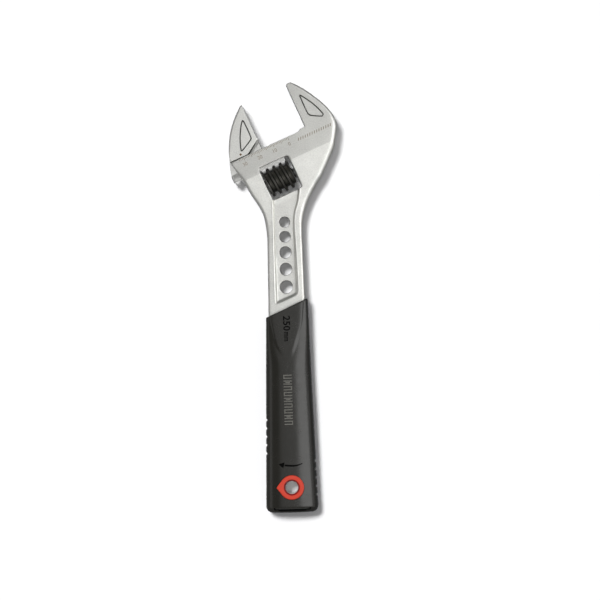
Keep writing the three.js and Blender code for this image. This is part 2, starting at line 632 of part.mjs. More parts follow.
function tangPocket() {
  const halfWidth = TANG_HALF_WIDTH + GAP;
  const halfDepth = TANG_THICKNESS / 2 + GAP;
  const [left, right] = [AXIS_X - halfWidth, AXIS_X + halfWidth];
  return solid(block(left, right, TANG_END_Y - GAP, 0, -halfDepth, halfDepth));
}

function makeGripCore() {
  const boss = solid(plate(bossShape(0), BOSS_HALF_HEIGHT, 0, BOSS_ROUND));
  return gripForm(GRIP_WALL + GAP)
    .intersect(below(T_AT_GRIP - SHANK_IN_GRIP - GAP))
    .add(boss)
    .subtract(tangPocket())
    .subtract(hangHoleCut());
}

function notches() {
  let all = null;
  const first = BUTT_Y + FIRST_NOTCH_TO_END;
  for (let i = 0; i < 2 * NOTCH_COUNT; i += 1) {
    const y = first - i * NOTCH_PITCH;
    const side = i < NOTCH_COUNT ? -1 : 1;
    const x = AXIS_X + side * (gripHalfWidth(y) + NOTCH_RADIUS - NOTCH_DEPTH);
    const bar = new THREE.CylinderGeometry(NOTCH_RADIUS, NOTCH_RADIUS, GRIP_HALF_THICKNESS, NOTCH_ROUND);
    const cut = solid(bar.rotateX(Math.PI / 2).translate(x, y, 0));
    all = all ? all.add(cut) : cut;
  }
  return all;
}

function makeGripCover() {
  const boss = solid(plate(bossShape(GAP), GRIP_HALF_THICKNESS + 1, 0, BOSS_ROUND));
  const cavity = gripForm(GRIP_WALL).intersect(below(T_AT_GRIP - SHANK_IN_GRIP));
  return gripForm(0)
    .intersect(below(T_AT_GRIP))
    .subtract(cavity)
    .subtract(shankPassage())
    .subtract(boss)
    .subtract(notches());
}

// ---- Assembly ----
const wrench = new THREE.Group();
wrench.name = 'adjustable_wrench';
wrench.add(meshOf('body', makeBody(), blastedSteel));
wrench.add(meshOf('grip_core', makeGripCore(), redPlastic));
wrench.add(meshOf('grip_cover', makeGripCover(), softBlack));

const slide = new THREE.Group();
slide.rotation.z = HEAD_ANGLE;
slide.add(meshOf('movable_jaw', makeSlidingJaw(), groundSteel));
slide.add(meshOf('worm', makeWorm(), blackenedSteel));
slide.add(meshOf('worm_pin', makePin(), zincSteel));
slide.add(meshOf('worm_spring', makeSpring(), springSteel));
wrench.add(slide);

// The origin is under the middle of the whole tool, on the surface it lies on.
const box = new THREE.Box3().setFromObject(wrench, true);
const middle = box.getCenter(new THREE.Vector3());
wrench.position.set(-middle.x, -middle.y, -box.min.z);
wrench.updateMatrixWorld(true);

export default wrench;
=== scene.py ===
"""An adjustable wrench of the 250 mm class, lying flat on a pale bench with its head up."""
import json
import math

import bmesh
import bpy
import numpy as np
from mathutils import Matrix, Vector
from mathutils.geometry import delaunay_2d_cdt


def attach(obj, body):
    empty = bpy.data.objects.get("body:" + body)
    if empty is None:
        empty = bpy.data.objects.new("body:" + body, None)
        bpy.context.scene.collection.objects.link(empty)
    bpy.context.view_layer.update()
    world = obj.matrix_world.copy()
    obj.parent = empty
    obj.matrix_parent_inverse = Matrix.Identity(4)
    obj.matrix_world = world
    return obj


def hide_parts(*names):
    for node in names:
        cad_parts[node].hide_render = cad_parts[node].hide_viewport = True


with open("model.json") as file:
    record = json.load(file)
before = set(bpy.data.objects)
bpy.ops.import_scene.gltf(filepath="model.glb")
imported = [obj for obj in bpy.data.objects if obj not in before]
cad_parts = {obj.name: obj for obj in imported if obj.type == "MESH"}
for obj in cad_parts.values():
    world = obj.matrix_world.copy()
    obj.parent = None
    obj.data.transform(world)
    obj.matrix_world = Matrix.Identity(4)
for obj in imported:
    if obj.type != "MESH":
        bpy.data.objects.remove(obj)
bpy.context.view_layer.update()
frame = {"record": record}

scene = bpy.context.scene
MM = 0.001

# Bench and studio: the wrench lies on white paper under a soft key from the upper left. Panels
# above it, to its right, near its butt and low on both sides draw the highlights.
scene.view_settings.view_transform = "Standard"
scene.view_settings.look = "None"

BENCH_REACH = 3.0
bench_mesh = bpy.data.meshes.new("bench_top")
bench_mesh.from_pydata(
    [(x * BENCH_REACH, y * BENCH_REACH, 0) for x, y in ((-1, -1), (1, -1), (1, 1), (-1, 1))], [], [(0, 1, 2, 3)]
)
bench = bpy.data.objects.new("bench_top", bench_mesh)
scene.collection.objects.link(bench)
bench.visible_glossy = False  # the low panels stand in for the paper in steel and rubber
paper = bpy.data.materials.new("white_paper")
paper.use_nodes = True
paper_shader = paper.node_tree.nodes["Principled BSDF"]
paper_shader.inputs["Base Color"].default_value = (0.93, 0.93, 0.935, 1)
paper_shader.inputs["Roughness"].default_value = 0.9
paper_shader.inputs["Specular IOR Level"].default_value = 0.1
bench_mesh.materials.append(paper)

world = bpy.data.worlds.new("studio_air")
scene.world = world
world.use_nodes = True
world.node_tree.nodes["Background"].inputs["Color"].default_value = (0.98, 0.98, 1.0, 1)
world.node_tree.nodes["Background"].inputs["Strength"].default_value = 0.2


def sun(name, direction, strength, softness_degrees):
    """A far lamp that lights the bench and colours but isn't mirrored in the steel."""
    light = bpy.data.lights.new(name, "SUN")
    light.energy = strength
    light.angle = math.radians(softness_degrees)
    lamp = bpy.data.objects.new(name, light)
    lamp.rotation_euler = Vector(direction).to_track_quat("-Z", "Y").to_euler()
    lamp.visible_glossy = False
    scene.collection.objects.link(lamp)


sun("overhead_key", (0.27, -0.33, -1.0), 2.9, 14)
sun("straight_down_fill", (0, 0, -1.0), 0.25, 12)


def reflector(name, place, width, height, brightness):
    """A rectangular panel facing the wrench, there to be mirrored in steel and rubber."""
    light = bpy.data.lights.new(name, "AREA")
    light.shape = "RECTANGLE"
    light.size = width
    light.size_y = height
    light.energy = brightness * math.pi * width * height
    panel = bpy.data.objects.new(name, light)
    panel.location = place
    panel.rotation_euler = (-Vector(place)).to_track_quat("-Z", "Y").to_euler()
    panel.visible_diffuse = False
    scene.collection.objects.link(panel)


reflector("top_panel", (-0.12, 0, 1.5), 1.1, 0.7, 0.45)
reflector("right_panel", (0.72, 0, 1.08), 0.9, 1.15, 2.3)
reflector("near_panel", (0, -1.0, 0.8), 1.2, 0.5, 0.8)
reflector("low_left_panel", (-1.1, 0, 0.42), 1.4, 0.5, 0.5)
reflector("low_right_panel", (1.1, 0, 0.38), 1.4, 0.5, 0.5)

VIEW_WIDTH = 0.372
VIEW_DISTANCE = 2.0
VIEW_CENTRE = (0.0078, -0.00175, 0.009)
VIEW_TURN_DEGREES = -1.6
SENSOR_WIDTH = 36
camera_data = bpy.data.cameras.new("bench_camera")
camera = bpy.data.objects.new("bench_camera", camera_data)
scene.collection.objects.link(camera)
scene.camera = camera
camera_data.sensor_width = SENSOR_WIDTH
camera_data.lens = SENSOR_WIDTH * VIEW_DISTANCE / VIEW_WIDTH
camera_data.clip_end = 20
camera.location = (VIEW_CENTRE[0], VIEW_CENTRE[1], VIEW_CENTRE[2] + VIEW_DISTANCE)
camera.rotation_euler = (0, 0, math.radians(VIEW_TURN_DEGREES))

# Body: one steel forging with the fixed jaw, the band, the neck, the shank and the tang that is
# hidden in the grip. The jaw and band are ground flat; the rest keeps its blasted, plated skin.
# Plan sizes are millimetres from the throat corner: x and y of the handle, or s along the slide
# and t towards the jaw tips. Heights are from the tool's middle plane.
HEAD_ANGLE = math.radians(23)
SLIDE = np.array([math.cos(HEAD_ANGLE), math.sin(HEAD_ANGLE)])
TIPS = np.array([-math.sin(HEAD_ANGLE), math.cos(HEAD_ANGLE)])
JAW_LENGTH = 28.5
TIP_CHAMFER = 0.6
LAND_T = -0.3
BAND_TOP_T = -1.5
AXIS_X = -14.25
MID_Z = 9.0
HEAD_HALF = 7.5
SHANK_HALF = 5.0
TANG_HALF = 3.5
BAND_HEIGHT = 15.2
NECK_END = 45
NECK_FOOT_RIGHT_Y = -66
NECK_FOOT_LEFT_Y = -69
NECK_HALF_WIDTH = 10.85
SHANK_HALF_WIDTH = 11.5
TANG_HALF_WIDTH = 7.4
SHANK_LENGTH = 112
TANG_END_Y = -210.9
WINDOW = (-37.1, -17.1, -33.5, -11.7)
WINDOW_CORNER = 1.6
RAIL_DEPTH = 12.1
RAIL_RADIUS = 4.1
RAIL_BORE_RIGHT = 12.4
WEB_HALF = 2.5
WORM_DEPTH = 22.9
PIN_RADIUS = 2.5
PIN_HEAD_RADIUS = 3.6
PIN_HEAD_LENGTH = 2.4
PIN_LEFT = -45.4
PIN_RIGHT = -9.1
GAP = 0.3
PAST_HEAD = -90

fixed_face = next(mount for mount in frame["record"]["mounts"] if mount["name"] == "fixed_jaw_face")
FACE_POINT_T = 14
throat = np.array(fixed_face["pos_m"]) - np.array([*(FACE_POINT_T * MM * TIPS), 0])


def at_head(s, t):
    return s * SLIDE + t * TIPS


def slanted_y(t, x):
    """Where the line across the tool at t meets a given x."""
    return (t + x * math.sin(HEAD_ANGLE)) / math.cos(HEAD_ANGLE)


GRIP_TOP = -SHANK_LENGTH * math.cos(HEAD_ANGLE) - AXIS_X * math.sin(HEAD_ANGLE)
SHOULDER = GRIP_TOP - 6


def curve_through(points, step=0.8, looped=False):
    """A smooth curve through the given points, as closely spaced points."""
    p = np.array(points, float)
    if looped:
        p = np.vstack([p[-1], p, p[0], p[1]])
    else:
        p = np.vstack([2 * p[0] - p[1], p, 2 * p[-1] - p[-2]])
    run = []
    for a, b, c, d in zip(p[:-3], p[1:-2], p[2:-1], p[3:]):
        count = max(3, int(np.linalg.norm(c - b) / step))
        u = np.arange(count)[:, None] / count
        bend = (2 * a - 5 * b + 4 * c - d) * u**2 + (3 * b - a - 3 * c + d) * u**3
        run.append(0.5 * (2 * b + (c - a) * u + bend))
    if not looped:
        run.append(p[-2][None])
    return np.vstack(run)


def straight(a, b, step=0.8):
    a, b = np.array(a, float), np.array(b, float)
    count = max(1, int(np.linalg.norm(b - a) / step))
    return a + (b - a) * (np.arange(count + 1)[:, None] / count)


def joined_runs(*runs):
    """Runs of points end to end as one anticlockwise loop without doubled points."""
    points = np.vstack(runs)
    points = points[np.linalg.norm(points - np.roll(points, -1, axis=0), axis=1) > 0.02]
    x, y = points.T
    area = np.sum(x * np.roll(y, -1) - np.roll(x, -1) * y)
    return points if area > 0 else points[::-1].copy()


def circle(centre, radius, count=56):
    angle = np.arange(count) / count * 2 * math.pi
    return np.array(centre) + radius * np.stack([np.cos(angle), np.sin(angle)], 1)


def rounded_box(s0, s1, t0, t1, radius, corner_steps=6):
    """A rounded rectangle in the head's frame."""
    corners = ((s1, t0, -90), (s1, t1, 0), (s0, t1, 90), (s0, t0, 180))
    points = []
    for s, t, turn in corners:
        middle = (s - math.copysign(radius, s - (s0 + s1) / 2), t - math.copysign(radius, t - (t0 + t1) / 2))
        for i in range(corner_steps + 1):
            angle = math.radians(turn + 90 * i / corner_steps)
            points.append(at_head(middle[0] + radius * math.cos(angle), middle[1] + radius * math.sin(angle)))
    points = np.array(points)
    return joined_runs(*[straight(a, b, 1.5) for a, b in zip(points, np.roll(points, -1, axis=0))])


def distance_to(points, loop):
    """Distance from each point to a closed loop, and where along the loop the nearest place is."""
    best = np.full(len(points), 1e9)
    where = np.zeros(len(points))
    for i, (p, q) in enumerate(zip(loop, np.roll(loop, -1, axis=0))):
        d = q - p
        u = np.clip(((points - p) @ d) / max(d @ d, 1e-12), 0, 1)
        away = np.hypot(*(points - p - u[:, None] * d).T)
        nearer = away < best
        best[nearer] = away[nearer]
        where[nearer] = i + u[nearer]
    return best, where


def inset(loop, amounts):
    """The loop moved to the left of its direction by an amount at each point, without the places
    where it would fold over itself."""
    along = np.roll(loop, -1, axis=0) - np.roll(loop, 1, axis=0)
    along /= np.maximum(np.linalg.norm(along, axis=1), 1e-9)[:, None]
    left = np.stack([-along[:, 1], along[:, 0]], 1)
    amounts = np.broadcast_to(amounts, len(loop))
    moved = loop + left * amounts[:, None]
    return moved[distance_to(moved, loop)[0] > 0.97 * np.abs(amounts) - 1e-6]


def inside(points, loop):
    x, y = points[:, 0], points[:, 1]
    within = np.zeros(len(points), bool)
    for (x0, y0), (x1, y1) in zip(loop, np.roll(loop, -1, axis=0)):
        if y0 != y1:
            crosses = (y0 > y) != (y1 > y)
            within ^= crosses & (x < (x1 - x0) * (y - y0) / (y1 - y0) + x0)
    return within


def blend_step(value, low, high):
    u = np.clip((value - low) / (high - low), 0, 1)
    return u * u * (3 - 2 * u)


def round_drop(away, radius):
    """How far a face has dropped this near to an edge that is rounded to a radius."""
    near = np.clip(radius - away, 0, None)
    return radius - np.sqrt(np.clip(radius**2 - near**2, 0, None))


ROUNDING_STEPS = [1 - math.cos(math.radians(a)) for a in (20, 38, 56, 73, 90)]


def rounding_guides(loop, radius, inwards=True):
    """Loops that follow a rounded edge from its rim to where the flat face begins."""
    side = 1 if inwards else -1
    return [(inset(loop, side * share * radius), True) for share in ROUNDING_STEPS]


def placed(name, points, faces):
    """A mesh object from handle millimetres, put where the frame has the tool."""
    metres = np.asarray(points, float) * MM + throat
    mesh = bpy.data.meshes.new(name)
    mesh.from_pydata(metres.tolist(), [], [[int(i) for i in face] for face in faces])
    work = bmesh.new()
    work.from_mesh(mesh)
    bmesh.ops.delete(work, geom=[v for v in work.verts if not v.link_faces], context="VERTS")
    bmesh.ops.remove_doubles(work, verts=work.verts, dist=1e-5)
    bmesh.ops.recalc_face_normals(work, faces=work.faces)
    work.to_mesh(mesh)
    work.free()
    piece = bpy.data.objects.new(name, mesh)
    scene.collection.objects.link(piece)
    return piece


def forged_plate(name, outline, openings, guides, half_thickness, spacing=2.0):
    """A plate with matching faces, its half thickness given at each point of its plan. Guides
    are loops and lines that its creases follow."""
    points, edges = [], []
    for loop, looped in [(outline, True)] + [(opening, True) for opening in openings] + guides:
        first = len(points)
        points.extend(loop)
        edges.extend((first + i, first + i + 1) for i in range(len(loop) - 1))
        if looped:
            edges.append((first + len(loop) - 1, first))
    fixed = np.array(points)
    low, high = outline.min(0), outline.max(0)
    grid = np.stack(np.meshgrid(np.arange(low[0], high[0], spacing), np.arange(low[1], high[1], spacing)), -1)
    grid = grid.reshape(-1, 2)
    grid = grid[inside(grid, outline)]
    clear = np.concatenate([
        np.hypot(part[:, None, 0] - fixed[None, :, 0], part[:, None, 1] - fixed[None, :, 1]).min(1) > 0.5 * spacing
        for part in np.array_split(grid, 1 + len(grid) // 200)
    ])
    points.extend(grid[clear])
    plan, _, triangles, *_ = delaunay_2d_cdt([Vector(p) for p in points], edges, [], 0, 1e-5)
    plan = np.array([tuple(v) for v in plan])
    triangles = np.array(triangles)
    middles = plan[triangles].mean(1)
    keep = inside(middles, outline)
    for opening in openings:
        keep &= ~inside(middles, opening)
    triangles = triangles[keep]
    half = half_thickness(plan)
    count = len(plan)
    faces = [tuple(t) for t in triangles] + [(c + count, b + count, a + count) for a, b, c in triangles]
    directed = {(a, b) for t in triangles for a, b in ((t[0], t[1]), (t[1], t[2]), (t[2], t[0]))}
    faces += [(b, a, a + count, b + count) for a, b in directed if (b, a) not in directed]
    upper = np.column_stack([plan, half])
    lower = np.column_stack([plan, -half])
    return placed(name, np.vstack([upper, lower]), faces)


def machined(piece, tool, operation="DIFFERENCE"):
    """Cuts a tool's shape out of a piece, or joins it on, and removes the tool."""
    step = piece.modifiers.new("machining", "BOOLEAN")
    step.object = tool
    step.operation = operation
    step.solver = "EXACT"
    bpy.context.view_layer.update()
    result = bpy.data.meshes.new_from_object(piece.evaluated_get(bpy.context.evaluated_depsgraph_get()))
    piece.modifiers.clear()
    piece.data = result
    bpy.data.objects.remove(tool)
    return piece


def between_rings(rings, sides, closed=False):
    """The four-sided faces between neighbouring rings of points."""
    pairs = [(i, (i + 1) % rings) for i in range(rings if closed else rings - 1)]
    turns = [(k, (k + 1) % sides) for k in range(sides)]
    return [(i * sides + k, i * sides + m, j * sides + m, j * sides + k) for i, j in pairs for k, m in turns]


def turned_bar(name, profile, depth, sides=64):
    """A bar turned about an axis along the slide, at a depth below the throat. The profile runs
    as (s, radius) along its outside, and back along its bore if it has one."""
    angles = np.arange(sides) / sides * 2 * math.pi
    points = []
    for s, radius in profile:
        for a in angles:
            points.append([*at_head(s, -depth + radius * math.cos(a)), radius * math.sin(a)])
    return placed(name, points, between_rings(len(profile), sides, closed=True))


def solid_bar(name, start, end, radius, depth, sides=64):
    return turned_bar(name, [(start, 1e-3), (start, radius), (end, radius), (end, 1e-3)], depth, sides)


def prism(name, plan, low, high):
    """An upright prism on a plan loop."""
    count = len(plan)
    points = [[*p, low] for p in plan] + [[*p, high] for p in plan]
    faces = [tuple(range(count))[::-1], tuple(range(count, 2 * count))]
    faces += [(i, (i + 1) % count, (i + 1) % count + count, i + count) for i in range(count)]
    return placed(name, points, faces)


def head_box(s0, s1, t0, t1):
    return np.array([at_head(s, t) for s, t in ((s0, t0), (s1, t0), (s1, t1), (s0, t1))])


def groove_line(corners, width=0.8):
    """The middle line of an engraved groove whose outer edge runs through the corners."""
    return inset(joined_runs(curve_through([at_head(s, t) for s, t in corners], 0.5, looped=True)), width / 2)


GROOVE_DEPTH = 0.5


def groove_drop(points, line):
    away, _ = distance_to(points, line)
    return GROOVE_DEPTH * (1 - blend_step(away, 0.12, 0.4))


def groove_guides(line):
    return [(inset(line, offset), True) for offset in (-0.4, -0.26, -0.12, 0.12, 0.26, 0.4)]


def across(t):
    """A line across the whole tool at t, for a crease to follow."""
    return (straight(at_head(-70, t), at_head(40, t), 1.5), False)


right_x, left_x = AXIS_X + SHANK_HALF_WIDTH, AXIS_X - SHANK_HALF_WIDTH
tang_right, tang_left = AXIS_X + TANG_HALF_WIDTH, AXIS_X - TANG_HALF_WIDTH
back_of_fixed_jaw = [(3, 1), (7.5, 0.82), (12.5, 0.54), (16.9, 0.22), (19, -0.09)]
neck_right = [(13.35, -30.5), (10.35, -35), (7.45, -40), (4.75, -45), (2.75, -50), (1.15, -55), (0.35, -60)]
neck_left = [(0.9, -59.9), (2.4, -53.4), (5.8, -46.8), (10, -40.2), (13.7, -33.1)]
shoulder_right = (right_x, slanted_y(SHOULDER, right_x))
shoulder_left = (left_x, slanted_y(SHOULDER, left_x))
tang_top_right = (tang_right, slanted_y(SHOULDER, tang_right))
tang_top_left = (tang_left, slanted_y(SHOULDER, tang_left))
neck_foot_right = (AXIS_X + NECK_HALF_WIDTH, NECK_FOOT_RIGHT_Y)
neck_foot_left = (AXIS_X - NECK_HALF_WIDTH, NECK_FOOT_LEFT_Y)
band_corner = at_head(-50.3, -7)
body_outline = joined_runs(
    straight(at_head(0, LAND_T), at_head(0, JAW_LENGTH - TIP_CHAMFER)),
    straight(at_head(0, JAW_LENGTH - TIP_CHAMFER), at_head(TIP_CHAMFER, JAW_LENGTH), 0.5),
    straight(at_head(TIP_CHAMFER, JAW_LENGTH), at_head(3, JAW_LENGTH)),
    curve_through(
        [at_head(s, share * JAW_LENGTH) for s, share in back_of_fixed_jaw]
        + [at_head(18, -8.5), at_head(13.4, -15.8), at_head(10.2, -20.2)]
        + [(AXIS_X + NECK_HALF_WIDTH + dx, y) for dx, y in neck_right] + [neck_foot_right]
    ),
    straight(neck_foot_right, shoulder_right),
    straight(shoulder_right, tang_top_right),
    straight(tang_top_right, (tang_right, TANG_END_Y), 4),
    straight((tang_right, TANG_END_Y), (tang_left, TANG_END_Y), 4),
    straight((tang_left, TANG_END_Y), tang_top_left, 4),
    straight(tang_top_left, shoulder_left),
    straight(shoulder_left, neck_foot_left),
    curve_through(
        [neck_foot_left] + [(AXIS_X - NECK_HALF_WIDTH - dx, y) for dx, y in neck_left] + [band_corner]
    ),
    straight(band_corner, at_head(-51.3, BAND_TOP_T)),
    straight(at_head(-51.3, BAND_TOP_T), at_head(-5, BAND_TOP_T)),
    straight(at_head(-5, BAND_TOP_T), at_head(-3.6, LAND_T), 0.4),
    straight(at_head(-3.6, LAND_T), at_head(0, LAND_T)),
)


def body_edge_radii(loop):
    """The edges are crisp at the jaw face and throat, and broadly rounded down the neck."""
    s, t = loop @ SLIDE, loop @ TIPS
    right = 1.3 + 1.5 * blend_step(-t, -4, 8) - 1.2 * blend_step(-t, 45, 62)
    left = 1.7 - 0.5 * blend_step(-t, 45, 62)
    radii = np.where(loop[:, 0] > AXIS_X, right, left)
    radii[((s < 0.05) & (t > -1.6)) | (t > JAW_LENGTH - 1.5)] = 0.3
    radii[(s < -45) & (t > -8)] = 0.8
    return np.mean([np.roll(radii, k) for k in range(-3, 4)], axis=0)


body_radii = body_edge_radii(body_outline)
panel_top_left = at_head(WINDOW[0] + 0.4, WINDOW[2] + 2)
panel_top_right = at_head(WINDOW[1] - 0.8, WINDOW[2] + 2)
panel_end = GRIP_TOP + 4.6
PANEL_CORNER = 2.4
PANEL_LEFT, PANEL_RIGHT = AXIS_X - 7, AXIS_X + 7.25


def panel_foot(x, above=0):
    """A place on the panel's slanting lower edge, or a little above it."""
    return (x, slanted_y(panel_end, x) + above)


panel_outline = joined_runs(
    straight(panel_top_left, panel_top_left + (0.3, -6)),
    straight(panel_top_left + (0.3, -6), panel_foot(PANEL_LEFT, PANEL_CORNER)),
    curve_through([
        panel_foot(PANEL_LEFT, PANEL_CORNER),
        (PANEL_LEFT + 0.6, panel_foot(PANEL_LEFT, 0.85)[1]),
        panel_foot(PANEL_LEFT + PANEL_CORNER),
    ], 0.4),
    straight(panel_foot(PANEL_LEFT + PANEL_CORNER), panel_foot(PANEL_RIGHT - PANEL_CORNER)),
    curve_through([
        panel_foot(PANEL_RIGHT - PANEL_CORNER),
        (PANEL_RIGHT - 0.55, panel_foot(PANEL_RIGHT, 0.45)[1]),
        panel_foot(PANEL_RIGHT, PANEL_CORNER),
    ], 0.4),
    curve_through([
        panel_foot(PANEL_RIGHT, PANEL_CORNER), (AXIS_X + 6.6, -77), (AXIS_X + 6.0, -61),
        (AXIS_X + 6.7, -53), (AXIS_X + 8.8, -45.6), panel_top_right,
    ]),
)
window = rounded_box(*WINDOW, WINDOW_CORNER)
fixed_groove = groove_line([
    (5.2, 19.3), (8.6, 14.4), (11.6, 8.6), (13.8, 2), (12.3, 0.8), (5.6, 4.4), (4.5, 6), (4.5, 18),
])
HOLE_COUNT = 5
FIRST_HOLE_DIAMETER = 6.5
HOLE_GROWTH = 0.37
HOLE_BRIDGE = 2.4
BRIDGE_GROWTH = 0.27
LAST_HOLE_ABOVE_GRIP = 13
holes = []
hole_y = -SHANK_LENGTH + LAST_HOLE_ABOVE_GRIP
for i in reversed(range(HOLE_COUNT)):
    hole_radius = (FIRST_HOLE_DIAMETER + HOLE_GROWTH * i) / 2
    holes.append(((AXIS_X, hole_y), hole_radius))
    hole_y += 2 * hole_radius - HOLE_GROWTH / 2 + HOLE_BRIDGE + (i - 1) * BRIDGE_GROWTH
HOLE_RIM = 0.35
WINDOW_RIM = 0.4
window_rims = WINDOW_RIM + 0.5 * blend_step(window @ SLIDE, WINDOW[1] - 1.2, WINDOW[1])
LIP_WIDTH = 0.9
LIP_HEIGHT = 0.1
PANEL_FLOOR = 3.6
FLOOR_STEP = 0.35
FLOOR_STEP_T = -35.9
FLOOR_STEP_WIDTH = 0.9


def panel_wall(points):
    """The width of the panel's sloping wall, which leans out more towards the grip."""
    return 0.9 + 0.9 * np.clip((points @ TIPS + NECK_END) / (panel_end + NECK_END), 0, 1)


def body_half_thickness(plan):
    t = plan @ TIPS
    slope = (HEAD_HALF - SHANK_HALF) / (NECK_END - BAND_HEIGHT)
    half = np.clip(HEAD_HALF - slope * (-BAND_HEIGHT - t), SHANK_HALF, HEAD_HALF)
    from_panel, _ = distance_to(plan, panel_outline)
    floor = PANEL_FLOOR + FLOOR_STEP * np.clip((t - FLOOR_STEP_T) / FLOOR_STEP_WIDTH, 0, 1)
    sunk = half + (floor - half) * blend_step(from_panel / panel_wall(plan), 0, 1)
    lip = LIP_HEIGHT * np.sin(math.pi * np.clip(from_panel / LIP_WIDTH, 0, 1)) ** 2
    half = np.where(inside(plan, panel_outline), sunk, half + np.where(t < WINDOW[2], lip, 0))
    half -= groove_drop(plan, fixed_groove)
    away, where = distance_to(plan, body_outline)
    half -= round_drop(away, np.interp(where, np.arange(len(body_radii)), body_radii))
    away, where = distance_to(plan, window)
    half -= round_drop(away, np.interp(where, np.arange(len(window_rims)), window_rims))
    for centre, radius in holes:
        half -= round_drop(np.abs(np.hypot(*(plan - centre).T) - radius), HOLE_RIM)
    return np.where(t < SHOULDER, np.minimum(half, TANG_HALF), half)


body = forged_plate(
    "body_forging",
    body_outline,
    [window] + [circle(centre, radius) for centre, radius in holes],
    rounding_guides(body_outline, body_radii)
    + rounding_guides(window, window_rims, inwards=False)
    + [(circle(centre, radius + share * HOLE_RIM), True) for centre, radius in holes for share in ROUNDING_STEPS]
    + [(inset(panel_outline, share * panel_wall(panel_outline)), True) for share in (0, 0.2, 0.4, 0.6, 0.8, 1)]
    + [(inset(panel_outline, -share * LIP_WIDTH), True) for share in (0.25, 0.5, 0.75, 1)]
    + groove_guides(fixed_groove)
    + [across(t) for t in (-BAND_HEIGHT, -NECK_END, SHOULDER + 0.1, SHOULDER - 0.1, FLOOR_STEP_T)],
    body_half_thickness,
)
slot_half = WEB_HALF + GAP
machined(body, prism("slot_tool", head_box(PAST_HEAD, GAP, -RAIL_DEPTH, GAP), -slot_half, slot_half))
machined(body, solid_bar("bore_tool", PAST_HEAD, RAIL_BORE_RIGHT, RAIL_RADIUS + GAP, RAIL_DEPTH))
machined(body, solid_bar("pin_tool", PAST_HEAD, PIN_RIGHT + GAP, PIN_RADIUS + GAP, WORM_DEPTH, 40))
counterbore_end = PIN_LEFT + PIN_HEAD_LENGTH + GAP
machined(body, solid_bar("counterbore_tool", PAST_HEAD, counterbore_end, PIN_HEAD_RADIUS + GAP, WORM_DEPTH, 40))


SPECKLE_MM = 0.75
CLOUD_MM = 12
SMEAR_MM = 5
WORN_PATCH_MM = 2.5
BRUSHED_STRETCH = 0.06
BARE_STEEL = (0.9, 0.9, 0.88, 1)


def finish(
    name, colour, metallic, roughness, grain_mm, grain_depth_mm, mottling=0.06, brushed=False, worn=0.0,
    sheen_level=0.5,
):
    """A procedural finish: mottled colour, uneven roughness, fine grain, and bright worn edges.
    Brushed grain runs along the slide."""
    material = bpy.data.materials.new(name)
    material.use_nodes = True
    nodes, links = material.node_tree.nodes, material.node_tree.links

    def made(kind, inputs, **settings):
        """A node with its settings, and its inputs each linked or given a value."""
        node = nodes.new("ShaderNode" + kind)
        for setting, value in settings.items():
            setattr(node, setting, value)
        for socket, value in inputs.items():
            if isinstance(value, bpy.types.NodeSocket):
                links.new(value, node.inputs[socket])
            else:
                node.inputs[socket].default_value = value
        return node.outputs

    def noise(place, size_mm, detail, noise_roughness=0.55):
        inputs = {"Vector": place, "Scale": 1 / (size_mm * MM), "Detail": detail, "Roughness": noise_roughness}
        return made("TexNoise", inputs)["Fac"]

    def spread(value, low, high, value_low=0.3, value_high=0.7):
        inputs = {"Value": value, "From Min": value_low, "From Max": value_high, "To Min": low, "To Max": high}
        return made("MapRange", inputs)["Result"]

    coordinates = made("TexCoord", {})["Object"]
    grain_place = coordinates
    if brushed:
        inputs = {"Vector": coordinates, "Angle": -HEAD_ANGLE}
        turned = made("VectorRotate", inputs, rotation_type="Z_AXIS")["Vector"]
        stretch = {0: turned, 1: (BRUSHED_STRETCH, 1, 1)}
        grain_place = made("VectorMath", stretch, operation="MULTIPLY")["Vector"]
    speckle, cloud = noise(coordinates, SPECKLE_MM, 3, 0.7), noise(coordinates, CLOUD_MM, 4)
    shade = {0: spread(cloud, 0, 1), 1: 0.3, 2: spread(speckle, 0, 0.7)}
    tones = {
        "A": (*[c * (1 - mottling) for c in colour], 1),
        "B": (*[min(1, c * (1 + mottling)) for c in colour], 1),
        "Factor": made("Math", shade, operation="MULTIPLY_ADD")["Value"],
    }
    tone = made("Mix", tones, data_type="RGBA")["Result"]
    if worn:
        ridge = spread(made("NewGeometry", {})["Pointiness"], 0, worn, 0.52, 0.6)
        patches = {0: ridge, 1: spread(noise(coordinates, WORN_PATCH_MM, 4), 0.3, 1)}
        bare = {"A": tone, "B": BARE_STEEL, "Factor": made("Math", patches, operation="MULTIPLY")["Value"]}
        tone = made("Mix", bare, data_type="RGBA")["Result"]
    smear = spread(noise(coordinates, SMEAR_MM, 5, 0.65), roughness - 0.05, roughness + 0.05)
    grain = {"Height": noise(grain_place, grain_mm, 3), "Distance": grain_depth_mm * MM}
    shader = nodes["Principled BSDF"]
    shader.inputs["Metallic"].default_value = metallic
    shader.inputs["Specular IOR Level"].default_value = sheen_level
    links.new(tone, shader.inputs["Base Color"])
    links.new(smear, shader.inputs["Roughness"])
    links.new(made("Bump", grain)["Normal"], shader.inputs["Normal"])
    return material


blasted_steel = finish("blasted_steel", (0.81, 0.81, 0.77), 1, 0.46, 0.35, 0.024, 0.13, worn=0.25)
ground_band = finish("ground_band", (0.66, 0.66, 0.625), 1, 0.36, 0.3, 0.012, 0.15, brushed=True, worn=0.2)
# Painted shade: a dark colour for the floors of the engraved grooves, a thin ring round the rims of the shank's
# holes, and the floor of the jaw's relief.
groove_shade = finish("groove_shade", (0.13, 0.13, 0.12), 0.8, 0.6, 0.2, 0.01, 0.2)
bored_steel = finish("bored_steel", (0.42, 0.41, 0.39), 1, 0.4, 0.3, 0.01, 0.12)


def smooth_shaded(piece, sharp_degrees=30):
    """Smooth shading that stays crisp along edges sharper than an angle."""
    piece.data.shade_smooth()
    piece.data.set_sharp_from_angle(angle=math.radians(sharp_degrees))
    even = piece.modifiers.new("even_shading", "WEIGHTED_NORMAL")
    even.keep_sharp = True
    even.weight = 60


